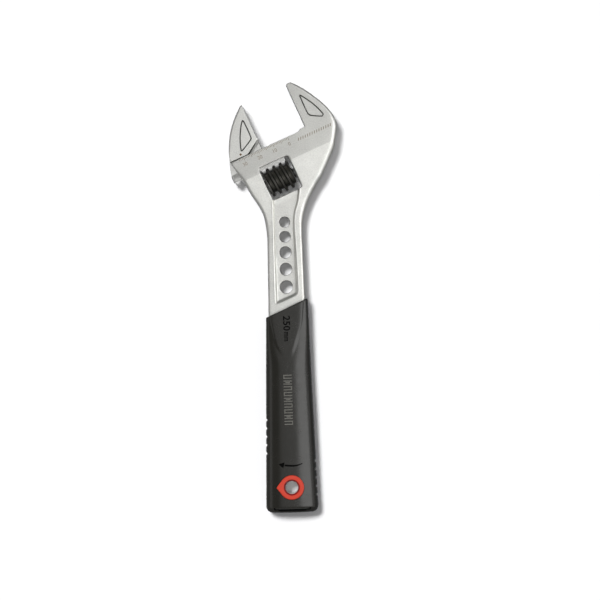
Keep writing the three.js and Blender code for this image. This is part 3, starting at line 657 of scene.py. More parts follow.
def plan_of(polygon):
    """A face's middle as handle millimetres, and its height from the middle plane."""
    x, y, z = (np.array(polygon.center) - throat) / MM
    return np.array([x, y]), z


def coated(piece, finishes, choose=None):
    """Gives a piece its finishes, chosen face by face where it has more than one."""
    piece.data.materials.clear()
    for material in finishes:
        piece.data.materials.append(material)
    if choose:
        for polygon in piece.data.polygons:
            polygon.material_index = finishes.index(choose(*plan_of(polygon), polygon.normal.z))


# Faces in an engraved groove, which get painted shade.
def in_groove(at, z, line):
    return HEAD_HALF - 0.7 < abs(z) < HEAD_HALF - 0.1 and distance_to(at[None], line)[0][0] < 0.38


# Faces on a hole's rim, which get a thin ring of painted shade where the bore falls away.
def on_hole_edge(at):
    return any(math.hypot(*(at - centre)) < radius + 0.12 for centre, radius in holes)


def on_ground_face(z, upright):
    return abs(z) > HEAD_HALF - 0.62 and abs(upright) > 0.995


def body_finish(at, z, upright):
    t = at @ TIPS
    if in_groove(at, z, fixed_groove) or on_hole_edge(at):
        return groove_shade
    if t > -BAND_HEIGHT and on_ground_face(z, upright):
        return ground_band
    if abs(z) < RAIL_RADIUS + 0.5 and t > -27 and at @ SLIDE < RAIL_BORE_RIGHT + 0.1:
        from_side, from_window = [distance_to(at[None], loop)[0][0] for loop in (body_outline, window)]
        return bored_steel if from_side > 0.3 and from_window > 0.05 else blasted_steel
    return blasted_steel


coated(body, [blasted_steel, ground_band, bored_steel, groove_shade], body_finish)
smooth_shaded(body)
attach(body, "wrench_body")
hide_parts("body")

# Jaw scale: laser-marked on the upper face of the ground band, in millimetres of opening. The
# burn is tan-grey and barely proud of the steel. Plain hatching fills the band on the right.
MARK_TOP = HEAD_HALF + 0.02
MARK_BASE = HEAD_HALF - 0.12
DIGIT_HEIGHT = 2.2
DIGIT_T = -6.1
FONT_CAP_SHARE = 0.69
TICK_COUNT = 34
TICK_TOP_T = -2.1
TICK_HALF_WIDTH = 0.16
FIRST_TICK_S = -12.6
HATCH_COUNT = 15
HATCH_PITCH = 1.55
FIRST_HATCH_S = -7.6


def lettering(name, text, height, low, high, place, weight=0.0):
    """Solid figures of a cap height, laid out by a place function from (along, up) millimetres."""
    curve = bpy.data.curves.new(name, "FONT")
    curve.body = text
    curve.size = height / FONT_CAP_SHARE
    curve.align_x = "CENTER"
    curve.align_y = "CENTER"
    curve.extrude = 0.5
    curve.offset = weight
    curve.resolution_u = 3
    writing = bpy.data.objects.new(name, curve)
    scene.collection.objects.link(writing)
    bpy.context.view_layer.update()
    mesh = bpy.data.meshes.new_from_object(writing.evaluated_get(bpy.context.evaluated_depsgraph_get()))
    bpy.data.objects.remove(writing)
    points = [[*place(v.co.x, v.co.y), high if v.co.z > 0 else low] for v in mesh.vertices]
    return placed(name, points, [tuple(p.vertices) for p in mesh.polygons])


def joined(name, pieces):
    """Several loose solids as one object."""
    work = bmesh.new()
    for part in pieces:
        work.from_mesh(part.data)
        bpy.data.objects.remove(part)
    mesh = bpy.data.meshes.new(name)
    work.to_mesh(mesh)
    work.free()
    whole = bpy.data.objects.new(name, mesh)
    scene.collection.objects.link(whole)
    return whole


marks = []
for opening, s in ((0, -13.2), (10, -23.3), (20, -33.2), (30, -43.3)):
    marks.append(lettering(
        f"figure_{opening}", str(opening), DIGIT_HEIGHT, MARK_BASE, MARK_TOP,
        lambda along, up, s=s: at_head(s + along, DIGIT_T + up),
    ))
for i in range(TICK_COUNT):
    s = FIRST_TICK_S - i
    tick_end = TICK_TOP_T - (1.6 if i % 5 == 0 else 0.9)
    tick = head_box(s - TICK_HALF_WIDTH, s + TICK_HALF_WIDTH, tick_end, TICK_TOP_T)
    marks.append(prism(f"tick_{i}", tick, MARK_BASE, MARK_TOP))
for i in range(HATCH_COUNT):
    s = FIRST_HATCH_S + HATCH_PITCH * i
    slanted = [at_head(s + lean, t) for lean, t in ((0, -6.6), (0.5, -6.6), (1.25, -4.9), (0.75, -4.9))]
    marks.append(prism(f"hatch_{i}", np.array(slanted), MARK_BASE, MARK_TOP))
scale_marks = joined("scale_marks", marks)
laser_tan = finish("laser_tan", (0.27, 0.22, 0.165), 0.4, 0.5, 0.2, 0.004, 0.2)
coated(scale_marks, [laser_tan])
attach(scale_marks, "wrench_body")

# Sliding jaw: a forging with its face ground square, a web that runs in the band's slot, and a
# round rail whose underside is broached into the rack that the thumb worm drives.
OPENING = 30
RAIL_LEFT = -54.4
RAIL_RIGHT = -19.6
JAW_BOTTOM = -1.1
PITCH = 4.35
WORM_PHASE = -32.6
THREAD_CREST = 1.25
THREAD_BASE = 2.55
WORM_RADIUS = 8.7
WORM_ROOT_RADIUS = 6.4
RACK_TIP = RAIL_DEPTH + RAIL_RADIUS
RACK_ROOT = WORM_DEPTH - WORM_RADIUS - GAP
FLANK_CLEARANCE = 0.25
LEAD_SLOPE = PITCH / (math.pi * (WORM_RADIUS + WORM_ROOT_RADIUS))

face = -OPENING
jaw_back = [(6, 0.84), (10, 0.7), (14, 0.525), (17, 0.35), (19.5, 0.17)]
jaw_outline = joined_runs(
    straight(at_head(face, JAW_BOTTOM + 6), at_head(face, JAW_LENGTH - TIP_CHAMFER)),
    straight(at_head(face, JAW_LENGTH - TIP_CHAMFER), at_head(face - TIP_CHAMFER, JAW_LENGTH), 0.5),
    curve_through(
        [at_head(face - TIP_CHAMFER, JAW_LENGTH)]
        + [at_head(face - b, share * JAW_LENGTH) for b, share in jaw_back]
    ),
    straight(at_head(face - 19.5, 0.17 * JAW_LENGTH), at_head(face - 21.4, JAW_BOTTOM)),
    straight(at_head(face - 21.4, JAW_BOTTOM), at_head(face - 9.5, JAW_BOTTOM)),
    straight(at_head(face - 9.5, JAW_BOTTOM), at_head(face, JAW_BOTTOM + 6)),
)
jaw_s, jaw_t = jaw_outline @ SLIDE, jaw_outline @ TIPS
jaw_radii = np.where(jaw_s > face - 1.25, 0.45, 1.0)
jaw_radii[(jaw_t < JAW_BOTTOM + 6.1) & (jaw_s > face - 21.3)] = 0.28
jaw_radii[jaw_t > JAW_LENGTH - 1.5] = 0.45
jaw_radii = np.mean([np.roll(jaw_radii, k) for k in range(-2, 3)], axis=0)
sliding_groove = groove_line([
    (-33.6, 19.6), (-32.8, 18), (-32.8, 7.5), (-34, 5.8), (-41.4, 1.9), (-42.5, 2.4), (-40.2, 9.2), (-36.6, 16),
])


def jaw_half_thickness(plan):
    away, where = distance_to(plan, jaw_outline)
    rounded = round_drop(away, np.interp(where, np.arange(len(jaw_radii)), jaw_radii))
    return HEAD_HALF - rounded - groove_drop(plan, sliding_groove)


jaw = forged_plate(
    "sliding_jaw", jaw_outline, [], rounding_guides(jaw_outline, jaw_radii) + groove_guides(sliding_groove),
    jaw_half_thickness,
)
web_back = [(18, 6), (21.2, 0), (22.7, -4), (23.8, -8), (23.6, -RAIL_DEPTH)]
web_outline = joined_runs(
    straight(at_head(face, -RAIL_DEPTH), at_head(face, 6)),
    straight(at_head(face, 6), at_head(face - 18, 6)),
    curve_through([at_head(face - b, t) for b, t in web_back]),
    straight(at_head(face - 23.6, -RAIL_DEPTH), at_head(face, -RAIL_DEPTH)),
)
WEB_EDGE = 0.35


def web_half_thickness(plan):
    return WEB_HALF - round_drop(distance_to(plan, web_outline)[0], WEB_EDGE)


web = forged_plate("jaw_web", web_outline, [], rounding_guides(web_outline, WEB_EDGE), web_half_thickness)
rail = turned_bar("jaw_rail", [
    (RAIL_LEFT, 1e-3), (RAIL_LEFT, 2.5), (RAIL_LEFT + 0.1, 2.8), (RAIL_LEFT + 0.5, 3.75), (RAIL_LEFT + 1, 4),
    (RAIL_LEFT + 1.6, RAIL_RADIUS), (RAIL_RIGHT - 0.5, RAIL_RADIUS), (RAIL_RIGHT - 0.15, RAIL_RADIUS - 0.15),
    (RAIL_RIGHT, RAIL_RADIUS - 0.5), (RAIL_RIGHT, 1e-3),
], RAIL_DEPTH, 72)


def rack_tooth_space(s, index):
    """The leaning, tapered space that one turn of the worm's thread runs in."""
    flank = (THREAD_BASE - THREAD_CREST) / 2 / (WORM_RADIUS - WORM_ROOT_RADIUS)
    at_root = THREAD_CREST / 2 + FLANK_CLEARANCE - flank * GAP
    beyond = 1
    section = []
    for rise, ease in ((0, -0.3), (0.09, -0.09), (0.3, 0.01), (RACK_TIP - RACK_ROOT + beyond, 0)):
        section.append((at_root + flank * rise + ease, -RACK_ROOT - rise))
    section = [(-w, t) for w, t in section] + [(w, t) for w, t in section[::-1]]
    reach = RAIL_RADIUS + beyond
    points = [[*at_head(s + w + LEAD_SLOPE * z, t), z] for z in (-reach, reach) for w, t in section]
    count = len(section)
    faces = [tuple(range(count)), tuple(range(count, 2 * count))[::-1]]
    faces += [(i, i + count, (i + 1) % count + count, (i + 1) % count) for i in range(count)]
    return placed(f"rack_space_{index}", points, faces)


first_space = math.ceil((RAIL_LEFT - WORM_PHASE) / PITCH)
last_space = math.floor((RAIL_RIGHT - WORM_PHASE + 1.4) / PITCH)
spaces = [rack_tooth_space(WORM_PHASE + k * PITCH, k) for k in range(first_space, last_space + 1)]
machined(rail, joined("rack_tool", spaces))
edge_break = rail.modifiers.new("edge_break", "BEVEL")
edge_break.width = 0.14 * MM
edge_break.segments = 2
edge_break.limit_method = "ANGLE"
edge_break.angle_limit = math.radians(38)
machined(web, rail, "UNION")
machined(jaw, web, "UNION")
RELIEF_FLOOR = 1.3
relief = np.array([
    at_head(*p) for p in ((-30.6, 4.75), (-40.4, -1.25), (-40.4, -2.3), (-38.2, -1.4), (-33.2, 2.3))
])
for side in (-1, 1):
    low, high = sorted((side * RELIEF_FLOOR, side * (HEAD_HALF - 3)))
    machined(jaw, prism("relief_tool", joined_runs(relief), low, high))
plated_jaw = finish("plated_jaw", (0.82, 0.82, 0.78), 1, 0.38, 0.3, 0.012, 0.15, brushed=True, worn=0.2)
ground_rack = finish("ground_rack", (0.88, 0.88, 0.86), 0.25, 0.5, 0.3, 0.012, 0.08, worn=0.3)
# Painted shade: the web is coloured darker than the rack, for the shade it lies in under the jaw plate.
web_steel_painted_shade = finish("web_steel_painted_shade", (0.55, 0.55, 0.53), 0.25, 0.5, 0.3, 0.012, 0.08, worn=0.2)
# Painted shade: the rail is coloured darker than the rack teeth cut in it, for the shade it lies in under the
# window's edge.
rail_steel_painted_shade = finish("rail_steel_painted_shade", (0.5, 0.5, 0.48), 0.7, 0.42, 0.3, 0.01, 0.12, brushed=True, worn=0.4)


def jaw_finish(at, z, upright):
    t = at @ TIPS
    if in_groove(at, z, sliding_groove):
        return groove_shade
    if on_ground_face(z, upright):
        return plated_jaw
    # Painted shade on the relief's floor, in the corner under the jaw plate.
    if RELIEF_FLOOR - 0.05 < abs(z) < WEB_HALF - 0.05 and inside(at[None], relief)[0]:
        return groove_shade
    if t < -RACK_ROOT + 0.15:
        return ground_rack
    if abs(z) < WEB_HALF + 0.05 and abs(upright) > 0.5:
        return web_steel_painted_shade
    return rail_steel_painted_shade if t < JAW_BOTTOM - 0.05 else blasted_steel


coated(jaw, [blasted_steel, plated_jaw, ground_rack, groove_shade, rail_steel_painted_shade, web_steel_painted_shade], jaw_finish)
smooth_shaded(jaw)
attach(jaw, "sliding_jaw")
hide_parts("movable_jaw")

# Index dot: a spot of brown enamel printed on the sliding jaw. Against the scale it shows how
# far the jaws are open.
INDEX_DOT_RADIUS = 0.7
dot_outline = circle(at_head(-43.4, 0.5), INDEX_DOT_RADIUS, 32)
index_dot = prism("index_dot", dot_outline, HEAD_HALF - 0.3, HEAD_HALF + 0.02)
dot_brown = finish("dot_brown", (0.16, 0.105, 0.06), 0.4, 0.5, 0.2, 0.01, 0.2)
coated(index_dot, [dot_brown])
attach(index_dot, "sliding_jaw")

# Thumb worm: turned and thread-milled from bar, blacked in hot oxide, with its crests rubbed by
# thumbs. It runs on the pin in the window of the head and drives the rack.
WORM_LEFT = -36.5
WORM_LENGTH = 17.6
WORM_RIGHT = WORM_LEFT + WORM_LENGTH
SPRING_POCKET_DEPTH = 8
SPRING_WIRE = 0.9
RUNNING_CLEARANCE = 0.08
ANGLES_A_TURN = 72

crest, base = THREAD_CREST / 2, THREAD_BASE / 2
thread_profile = [
    (-base - 0.3, WORM_ROOT_RADIUS), (-base, WORM_ROOT_RADIUS + 0.08), (-base + 0.12, WORM_ROOT_RADIUS + 0.4),
    (-crest - 0.06, WORM_RADIUS - 0.22), (-crest + 0.06, WORM_RADIUS - 0.05), (-crest + 0.2, WORM_RADIUS),
]
thread_profile += [(-s, radius) for s, radius in thread_profile[::-1]]
per_turn = len(thread_profile)
first_turn = math.floor((WORM_LEFT - WORM_PHASE) / PITCH) - 2
turn_count = math.ceil(WORM_LENGTH / PITCH) + 4
rod_points, rod_faces = [], []
row_length = turn_count * per_turn
for i in range(ANGLES_A_TURN + 1):
    angle = 2 * math.pi * i / ANGLES_A_TURN
    for turn in range(turn_count):
        for s, radius in thread_profile:
            along = WORM_PHASE + (first_turn + turn + i / ANGLES_A_TURN) * PITCH + s
            plan = at_head(along, -WORM_DEPTH + radius * math.cos(angle))
            rod_points.append([*plan, radius * math.sin(angle)])
for i in range(ANGLES_A_TURN):
    for j in range(row_length - 1):
        a = i * row_length + j
        rod_faces.append((a, a + 1, a + 1 + row_length, a + row_length))
for end, along in ((0, first_turn), (row_length - 1, first_turn + turn_count)):
    hub = len(rod_points)
    rod_points.append([*at_head(WORM_PHASE + along * PITCH, -WORM_DEPTH), 0])
    rim = [i * row_length + end for i in range(ANGLES_A_TURN + 1)]
    if end == 0:
        seam = list(range(per_turn, -1, -1))
    else:
        last_row = ANGLES_A_TURN * row_length
        seam = [last_row + end - per_turn + k for k in range(per_turn + 1)]
    for a, b in zip(rim[:-1], rim[1:]):
        rod_faces.append((hub, a, b))
    for a, b in zip(seam[:-1], seam[1:]):
        rod_faces.append((hub, a, b))
worm = placed("thumb_worm", rod_points, rod_faces)
bore = PIN_RADIUS + RUNNING_CLEARANCE
pocket = bore + SPRING_WIRE + 2 * GAP
END_CHAMFER = 0.8
machined(worm, turned_bar("worm_blank", [
    (WORM_LEFT, bore + 0.3), (WORM_LEFT, WORM_RADIUS - END_CHAMFER - 0.15),
    (WORM_LEFT + 0.15, WORM_RADIUS - END_CHAMFER), (WORM_LEFT + END_CHAMFER, WORM_RADIUS + 0.02),
    (WORM_RIGHT - END_CHAMFER, WORM_RADIUS + 0.02), (WORM_RIGHT - 0.15, WORM_RADIUS - END_CHAMFER),
    (WORM_RIGHT, WORM_RADIUS - END_CHAMFER - 0.15), (WORM_RIGHT, pocket),
    (WORM_RIGHT - SPRING_POCKET_DEPTH, pocket), (WORM_RIGHT - SPRING_POCKET_DEPTH, bore),
    (WORM_LEFT + 0.3, bore),
], WORM_DEPTH, 72), "INTERSECT")
black_oxide = finish("black_oxide", (0.045, 0.043, 0.036), 0.75, 0.36, 0.3, 0.01, 0.25, worn=0.12)
coated(worm, [black_oxide])
smooth_shaded(worm)
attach(worm, "thumb_worm")
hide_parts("worm")

# Worm pin: a plain zinc-plated screw that the worm turns on. Its slotted head lies flush in a
# counterbore on the open side of the head.
pin = turned_bar("worm_pin_screw", [
    (PIN_LEFT, 1e-3), (PIN_LEFT, 3.1), (PIN_LEFT + 0.15, 3.4), (PIN_LEFT + 0.45, PIN_HEAD_RADIUS),
    (PIN_LEFT + PIN_HEAD_LENGTH, PIN_HEAD_RADIUS), (PIN_LEFT + PIN_HEAD_LENGTH, PIN_RADIUS),
    (PIN_RIGHT - 0.6, PIN_RADIUS), (PIN_RIGHT, PIN_RADIUS - 0.6), (PIN_RIGHT, 1e-3),
], WORM_DEPTH, 48)
SLOT_HALF_WIDTH = 0.55
slot = head_box(
    PIN_LEFT - 2, PIN_LEFT + PIN_HEAD_LENGTH / 2, -WORM_DEPTH - SLOT_HALF_WIDTH, -WORM_DEPTH + SLOT_HALF_WIDTH
)
machined(pin, prism("screwdriver_slot", slot, -6, 6))
zinc_plate = finish("zinc_plate", (0.3, 0.3, 0.285), 1, 0.36, 0.2, 0.006, 0.1, worn=0.4)
coated(pin, [zinc_plate])
smooth_shaded(pin)
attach(pin, "wrench_body")
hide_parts("worm_pin")

# Worm spring: a few turns of hard-drawn wire around the pin, in the worm's pocket, which press
# the worm against the window and take up its end play.
SPRING_TURNS = 4.5
STEPS_A_TURN = 40
wire = SPRING_WIRE / 2
spring_from = WORM_RIGHT - SPRING_POCKET_DEPTH + GAP + wire
spring_to = WINDOW[1] - GAP - wire
WIRE_SIDES = 14
coil_points = []
coil_steps = int(SPRING_TURNS * STEPS_A_TURN)
for i in range(coil_steps + 1):
    angle = 2 * math.pi * SPRING_TURNS * i / coil_steps
    middle_s = spring_from + (spring_to - spring_from) * i / coil_steps
    for k in range(WIRE_SIDES):
        around = 2 * math.pi * k / WIRE_SIDES
        radius = PIN_RADIUS + GAP + wire + wire * math.cos(around)
        across_bar = at_head(middle_s + wire * math.sin(around), -WORM_DEPTH + radius * math.cos(angle))
        coil_points.append([*across_bar, radius * math.sin(angle)])
coil_faces = between_rings(coil_steps + 1, WIRE_SIDES)
last_ring = coil_steps * WIRE_SIDES
coil_faces += [tuple(range(WIRE_SIDES)), tuple(range(last_ring, last_ring + WIRE_SIDES))[::-1]]
spring = placed("take_up_spring", coil_points, coil_faces)
drawn_wire = finish("drawn_wire", (0.1, 0.1, 0.1), 1, 0.34, 0.15, 0.005, 0.1)
coated(spring, [drawn_wire])
smooth_shaded(spring)
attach(spring, "wrench_body")
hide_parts("worm_spring")

# Grip core: the hard red moulding shot onto the tang first. All that shows of it is the
# teardrop boss around the hanging hole, a little below the cover's face. The hole is
# countersunk, with painted shade in a darker red on the countersink, and its wall is pale.
GRIP_LENGTH = 126.5
GRIP_TOP_HALF_WIDTH = 13.05
GRIP_END_HALF_WIDTH = 16.25
GRIP_TOP_HALF = 7.6
GRIP_HALF = 9.0
GRIP_WALL = 2.2
BUTT_Y = -SHANK_LENGTH - GRIP_LENGTH
BUTT_RADIUS = 4
HANG_HOLE = (AXIS_X, BUTT_Y + 15.6)
HANG_HOLE_RADIUS = 4
BOSS_RADIUS = 7.6
BOSS_POINT = 9.5
BOSS_HALF = GRIP_HALF - 0.35
COUNTERSINK = 0.95


def grip_share(y):
    return np.clip((-SHANK_LENGTH - y) / GRIP_LENGTH, 0, 1)


def grip_half_width(y):
    return GRIP_TOP_HALF_WIDTH + (GRIP_END_HALF_WIDTH - GRIP_TOP_HALF_WIDTH) * grip_share(y)


def grip_half_thickness(y):
    return GRIP_TOP_HALF + (GRIP_HALF - GRIP_TOP_HALF) * blend_step(grip_share(y), 0, 0.3)


def grip_power(y):
    return 2.7 + 2.8 * (1 - blend_step(-y, 112, 150))


def crown_at(x, y):
    """The height of the grip's oval face above the middle plane."""
    lie = np.clip(np.abs((x - AXIS_X) / grip_half_width(y)), 0, 0.999)
    return grip_half_thickness(y) * (1 - lie ** grip_power(y)) ** (1 / grip_power(y))


def lofted_grip(skin, stations, sides, top):
    """The grip's form, or the form one skin inside it, from oval cross sections that are squarer
    at the top where the shank enters. Its top end is cut slanting at t = top."""
    angles = np.arange(sides) / sides * 2 * math.pi
    points = []
    for y_axis in stations:
        into = max(0.0, BUTT_Y + skin + BUTT_RADIUS - y_axis)
        pulled = BUTT_RADIUS - math.sqrt(max(0.0, BUTT_RADIUS**2 - into**2))
        lean = 1 - blend_step(-y_axis, -slanted_y(top, AXIS_X), 158)
        power = 2 / grip_power(y_axis)
        c, d = np.cos(angles), np.sin(angles)
        half_width = grip_half_width(y_axis) - skin - pulled
        x = AXIS_X + np.sign(c) * np.abs(c) ** power * half_width
        y = y_axis + lean * (slanted_y(top, x) - slanted_y(top, AXIS_X))
        z = np.sign(d) * np.abs(d) ** power * (grip_half_thickness(y) - skin - 0.8 * pulled)
        points.append(np.stack([x, y, z], 1))
    ends = [tuple(range(sides))[::-1], tuple(range((len(stations) - 1) * sides, len(stations) * sides))]
    return np.array(points), between_rings(len(stations), sides) + ends


def butt_stations(skin):
    end = BUTT_Y + skin
    return [end + BUTT_RADIUS * (1 - math.sin(math.radians(a))) for a in (0, 12, 24, 36, 48, 60, 70, 80, 90)]


def teardrop(allowance, count=72):
    radius, point = BOSS_RADIUS + allowance, BOSS_POINT + allowance
    spread = math.acos(radius / point)
    angles = np.linspace(math.pi + spread, 3 * math.pi - spread, count)
    arc = np.array(HANG_HOLE) + radius * np.stack([np.cos(angles), np.sin(angles)], 1)
    tip = np.array([HANG_HOLE[0] - point, HANG_HOLE[1]])
    return joined_runs(straight(tip, arc[0], 0.5), arc, straight(arc[-1], tip, 0.5))


core_top = SHOULDER - GAP
core_stations = [slanted_y(core_top, AXIS_X) - 1.5 * i for i in range(76)]
core_stations = [y for y in core_stations if y > BUTT_Y + 7.5] + butt_stations(GRIP_WALL + GAP)
core_points, core_faces = lofted_grip(GRIP_WALL + GAP, core_stations, 64, core_top)
core = placed("grip_core_moulding", core_points.reshape(-1, 3), core_faces)
boss_edge = teardrop(0)
BOSS_ROUNDING = 0.45


def boss_half_thickness(plan):
    from_hole = np.hypot(*(plan - np.array(HANG_HOLE)).T) - HANG_HOLE_RADIUS
    sink = COUNTERSINK * (1 - blend_step(from_hole, -0.1, COUNTERSINK))
    return BOSS_HALF - round_drop(distance_to(plan, boss_edge)[0], BOSS_ROUNDING) - sink


boss = forged_plate(
    "boss", boss_edge, [circle(HANG_HOLE, HANG_HOLE_RADIUS, 72)],
    rounding_guides(boss_edge, BOSS_ROUNDING)
    + [(circle(HANG_HOLE, HANG_HOLE_RADIUS + d, 72), True) for d in (0.15, 0.35, 0.55, 0.75, 0.95)],
    boss_half_thickness, 1.2,
)
machined(core, prism("hole_drill", circle(HANG_HOLE, HANG_HOLE_RADIUS + 1.5, 72), -12, 12))
machined(core, boss, "UNION")
tang_tool = np.array([
    (tang_left - GAP, TANG_END_Y - GAP), (tang_right + GAP, TANG_END_Y - GAP), (tang_right + GAP, -90),
    (tang_left - GAP, -90),
])
machined(core, prism("tang_tool", tang_tool, -TANG_HALF - GAP, TANG_HALF + GAP))
red_moulding = finish("red_moulding", (0.52, 0.04, 0.018), 0, 0.42, 0.35, 0.012, 0.1, sheen_level=0.4)
# Painted shade: the countersink's slope is coloured a darker red than the moulding.
dark_red_painted_shade = finish("dark_red_painted_shade", (0.19, 0.006, 0.006), 0, 0.4, 0.35, 0.01, 0.1, sheen_level=0.4)
# The hanging hole's wall is coloured pale.
pale_hole_wall = finish("pale_hole_wall", (0.8, 0.8, 0.78), 0, 0.4, 0.35, 0.01, 0.06)


def core_finish(at, z, upright):
    from_hole = math.hypot(*(at - HANG_HOLE)) - HANG_HOLE_RADIUS
    if from_hole < 0.04:
        return pale_hole_wall
    # The countersink gets painted shade in darker red.
    return dark_red_painted_shade if from_hole < 0.9 and abs(z) > BOSS_HALF - 1.2 else red_moulding


coated(core, [red_moulding, dark_red_painted_shade, pale_hole_wall], core_finish)
smooth_shaded(core)
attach(core, "wrench_body")
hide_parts("grip_core")

# Grip cover: soft black rubber shot over the core, satin and finely textured, with five finger
# notches in each side, a proud tongue behind the shank, and figures sunk into its face.
NOTCHES_A_SIDE = 5
NOTCH_PITCH = 5.2
NOTCH_RADIUS = 1.05
NOTCH_DEPTH = 0.6
FIRST_NOTCH_Y = BUTT_Y + 57.4
notch_places = [
    (-1 if i < NOTCHES_A_SIDE else 1, FIRST_NOTCH_Y - i * NOTCH_PITCH) for i in range(2 * NOTCHES_A_SIDE)
]
TONGUE_Y = (-146, -135, -130, -122, -112, -104)
TONGUE_RIGHT = (0, 4.2, 5.7, 8.4, 9.4, 9.9)
TONGUE_LEFT = (0, 6.6, 7.8, 9.4, 10.4, 10.8)
TONGUE_STEP = 0.5


def beside_tongue(x, y):
    """How far the face has dropped beside the tongue, which stays proud of it."""
    edge = np.where(x > AXIS_X, np.interp(y, TONGUE_Y, TONGUE_RIGHT), np.interp(y, TONGUE_Y, TONGUE_LEFT))
    return TONGUE_STEP * blend_step(np.abs(x - AXIS_X) - edge, 0, 1.1) * blend_step(y, -146, -130)


cover_top = GRIP_TOP
y = slanted_y(cover_top, AXIS_X)
cover_stations = [y, y - 0.08, y - 0.25, y - 0.5]
y -= 1
while y > BUTT_Y + BUTT_RADIUS + 0.3:
    cover_stations.append(y)
    y -= 0.3 if BUTT_Y + 5 < y < FIRST_NOTCH_Y + 2 else 0.9
cover_stations += butt_stations(0)
SIDES = 144
skin_points, skin_faces = lofted_grip(0, cover_stations, SIDES, cover_top)
from_top = cover_top - skin_points[..., :2] @ TIPS
edge_pull = round_drop(np.clip(from_top, 0, None), 0.6)[..., None]
middle = np.array([AXIS_X, 0, 0])
outward = (skin_points - middle) * np.array([1, 0, 1])
outward /= np.maximum(np.linalg.norm(outward, axis=-1, keepdims=True), 1e-6)
skin_points = skin_points - outward * edge_pull * (from_top < 1)[..., None]
skin_x, skin_y = skin_points[..., 0], skin_points[..., 1]
side_share = (skin_x - AXIS_X) / grip_half_width(skin_y)
skin_points[..., 2] *= 1 - beside_tongue(skin_x, skin_y) / grip_half_thickness(skin_y)
for side, notch_y in notch_places:
    off = np.abs(skin_points[..., 1] - notch_y)
    dip = np.sqrt(np.clip(NOTCH_RADIUS**2 - off**2, 0, None)) - (NOTCH_RADIUS - NOTCH_DEPTH)
    reach_in = blend_step(side * side_share, 0.86, 0.99)
    depth = np.clip(dip, 0, None) * reach_in
    skin_points -= outward * depth[..., None]
cover = placed("grip_cover_moulding", skin_points.reshape(-1, 3), skin_faces)
hollow_top = SHOULDER
hollow_stations = [slanted_y(hollow_top, AXIS_X) - 1.5 * i for i in range(76)]
hollow_stations = [y for y in hollow_stations if y > BUTT_Y + 7.2] + butt_stations(GRIP_WALL)
hollow_points, hollow_faces = lofted_grip(GRIP_WALL, hollow_stations, 64, hollow_top)
machined(cover, placed("core_space", hollow_points.reshape(-1, 3), hollow_faces))
SHANK_FIT = 0.12
space_left, space_right = left_x - SHANK_FIT, right_x + SHANK_FIT
space_low, space_high = SHOULDER - 1, GRIP_TOP + 4
shank_space = np.array([
    (x, slanted_y(t, x)) for x, t in (
        (space_left, space_low), (space_right, space_low), (space_right, space_high), (space_left, space_high),
    )
])
machined(cover, prism("shank_space", shank_space, -SHANK_HALF - SHANK_FIT, SHANK_HALF + SHANK_FIT))
machined(cover, prism("boss_space", teardrop(SHANK_FIT), -12, 12))

SINK = 0.45
figures = lettering(
    "size_figures", "250", 4.1, 0, 1, lambda along, up: np.array([-14.9 + up, -121.4 - 1.05 * along]), 0.1
)
unit = lettering(
    "size_unit", "mm", 3.4, 0, 1, lambda along, up: np.array([-14.9 + up, -129.6 - 0.8 * along]), 0.1,
)


def sunk_into(piece, tool, surface):
    """Cuts upright figures into a face, their floor a fixed depth below it."""
    for vertex in tool.data.vertices:
        at = (np.array(vertex.co) - throat) / MM
        top = at[2] > 0.5
        level = surface(at[0], at[1]) + (1.5 if top else -SINK)
        vertex.co.z = (level + MID_Z) * MM
    machined(piece, tool)


sunk_into(cover, joined("size_mark", [figures, unit]), crown_at)


def ribbon(name, line, widths):
    """An upright solid that follows a line at a width for each of its points."""
    line, widths = np.array(line, float), np.array(widths, float)[:, None]
    along = np.gradient(line, axis=0)
    along /= np.linalg.norm(along, axis=1)[:, None]
    left = np.stack([-along[:, 1], along[:, 0]], 1)
    return prism(name, joined_runs(line + left * widths / 2, (line - left * widths / 2)[::-1]), 0, 1)


shaft_line = curve_through([(-7.3, -208.2), (-10, -209.1), (-13, -209.5), (-18.3, -209.1)], 0.6)
shaft_widths = np.interp(np.arange(len(shaft_line)), [0, len(shaft_line) * 0.5], [0.5, 1.1])
shaft = ribbon("arrow_shaft", shaft_line, shaft_widths)
head_plan = np.array([(-22, -208.3), (-18.3, -207.2), (-18.6, -208.9), (-19.3, -210.9)])
arrow_head = prism("arrow_head", joined_runs(head_plan), 0, 1)
sunk_into(cover, shaft, crown_at)
sunk_into(cover, arrow_head, crown_at)
soft_black = finish("soft_black", (0.0092, 0.0086, 0.006), 0, 0.24, 0.4, 0.005, 0.16, sheen_level=0.6)
# Painted shade: the floors of the sunk figures and arrow are coloured near black, darker than the rubber around
# them.
sunk_painted_shade = finish("sunk_painted_shade", (0.002, 0.002, 0.002), 0, 0.6, 0.3, 0.01, 0.2, sheen_level=0.05)


def cover_finish(at, z, upright):
    x, y = at
    open_face = abs(x - AXIS_X) < 0.7 * grip_half_width(y) and cover_top - at @ TIPS > 1.5
    depth = crown_at(x, y) - beside_tongue(x, y) - z
    # Faces on the floors of the sunk figures get painted shade.
    sunk = open_face and z > 2 and 0.2 < depth < 2 * SINK and upright > -0.3
    return sunk_painted_shade if sunk else soft_black


coated(cover, [soft_black, sunk_painted_shade], cover_finish)
smooth_shaded(cover, 40)
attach(cover, "wrench_body")
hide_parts("grip_cover")
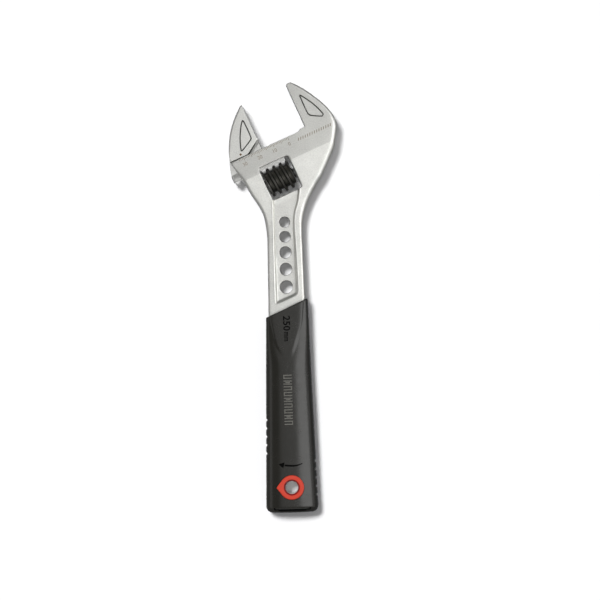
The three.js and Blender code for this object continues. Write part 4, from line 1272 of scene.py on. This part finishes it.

# Grip badge: a row of plain moulded bars and frames on the cover where the thumb rests, part of
# the same shot, and coloured a little lighter than the texture around it as painted sheen.
BADGE_TOP_Y = -153.2
BADGE_PITCH = 3.55
BADGE_COUNT = 9
BADGE_FRAME = 2.5
BADGE_RIGHT, BADGE_LEFT = -12.4, -17.6
BAR = 0.65
bars = []
for i in range(BADGE_COUNT):
    y0 = BADGE_TOP_Y - i * BADGE_PITCH
    strokes = [(BADGE_LEFT, BADGE_RIGHT, y0 - BAR, y0)]
    if i % 3 != 1:
        strokes.append((BADGE_LEFT, BADGE_RIGHT, y0 - BADGE_FRAME, y0 - BADGE_FRAME + BAR))
    if i % 3 == 0:
        strokes.append((BADGE_LEFT, BADGE_LEFT + BAR, y0 - BADGE_FRAME + BAR, y0 - BAR))
    if i % 3 == 2:
        strokes.append((BADGE_RIGHT - BAR, BADGE_RIGHT, y0 - BADGE_FRAME + BAR, y0 - BAR))
    if i % 3 == 1:
        strokes.append((BADGE_LEFT + 1.2, BADGE_RIGHT - 1.2, y0 - 1.5, y0 - 1.5 + BAR))
        strokes.append((BADGE_LEFT, BADGE_RIGHT, y0 - BADGE_FRAME, y0 - BADGE_FRAME + BAR))
    for number, (x0, x1, y_low, y_high) in enumerate(strokes):
        corner = np.array([(x0, y_low), (x1, y_low), (x1, y_high), (x0, y_high)])
        bars.append(prism(f"bar_{i}_{number}", joined_runs(*[
            straight(a, b, 0.6) for a, b in zip(corner, np.roll(corner, -1, axis=0))
        ]), 0, 1))
badge = joined("grip_badge", bars)
for vertex in badge.data.vertices:
    at = (np.array(vertex.co) - throat) / MM
    level = crown_at(at[0], at[1]) + (0.0 if at[2] > 0.5 else -0.5)
    level += 0.12 * (at[2] > 0.5) - 0.05
    vertex.co.z = (min(level, GRIP_HALF + 0.05) + MID_Z) * MM
# Painted sheen: the badge's black is lighter than the cover's.
badge_painted_sheen = finish("badge_painted_sheen", (0.1, 0.097, 0.085), 0, 0.4, 0.3, 0.008, 0.15)
coated(badge, [badge_painted_sheen])
smooth_shaded(badge)
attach(badge, "wrench_body")
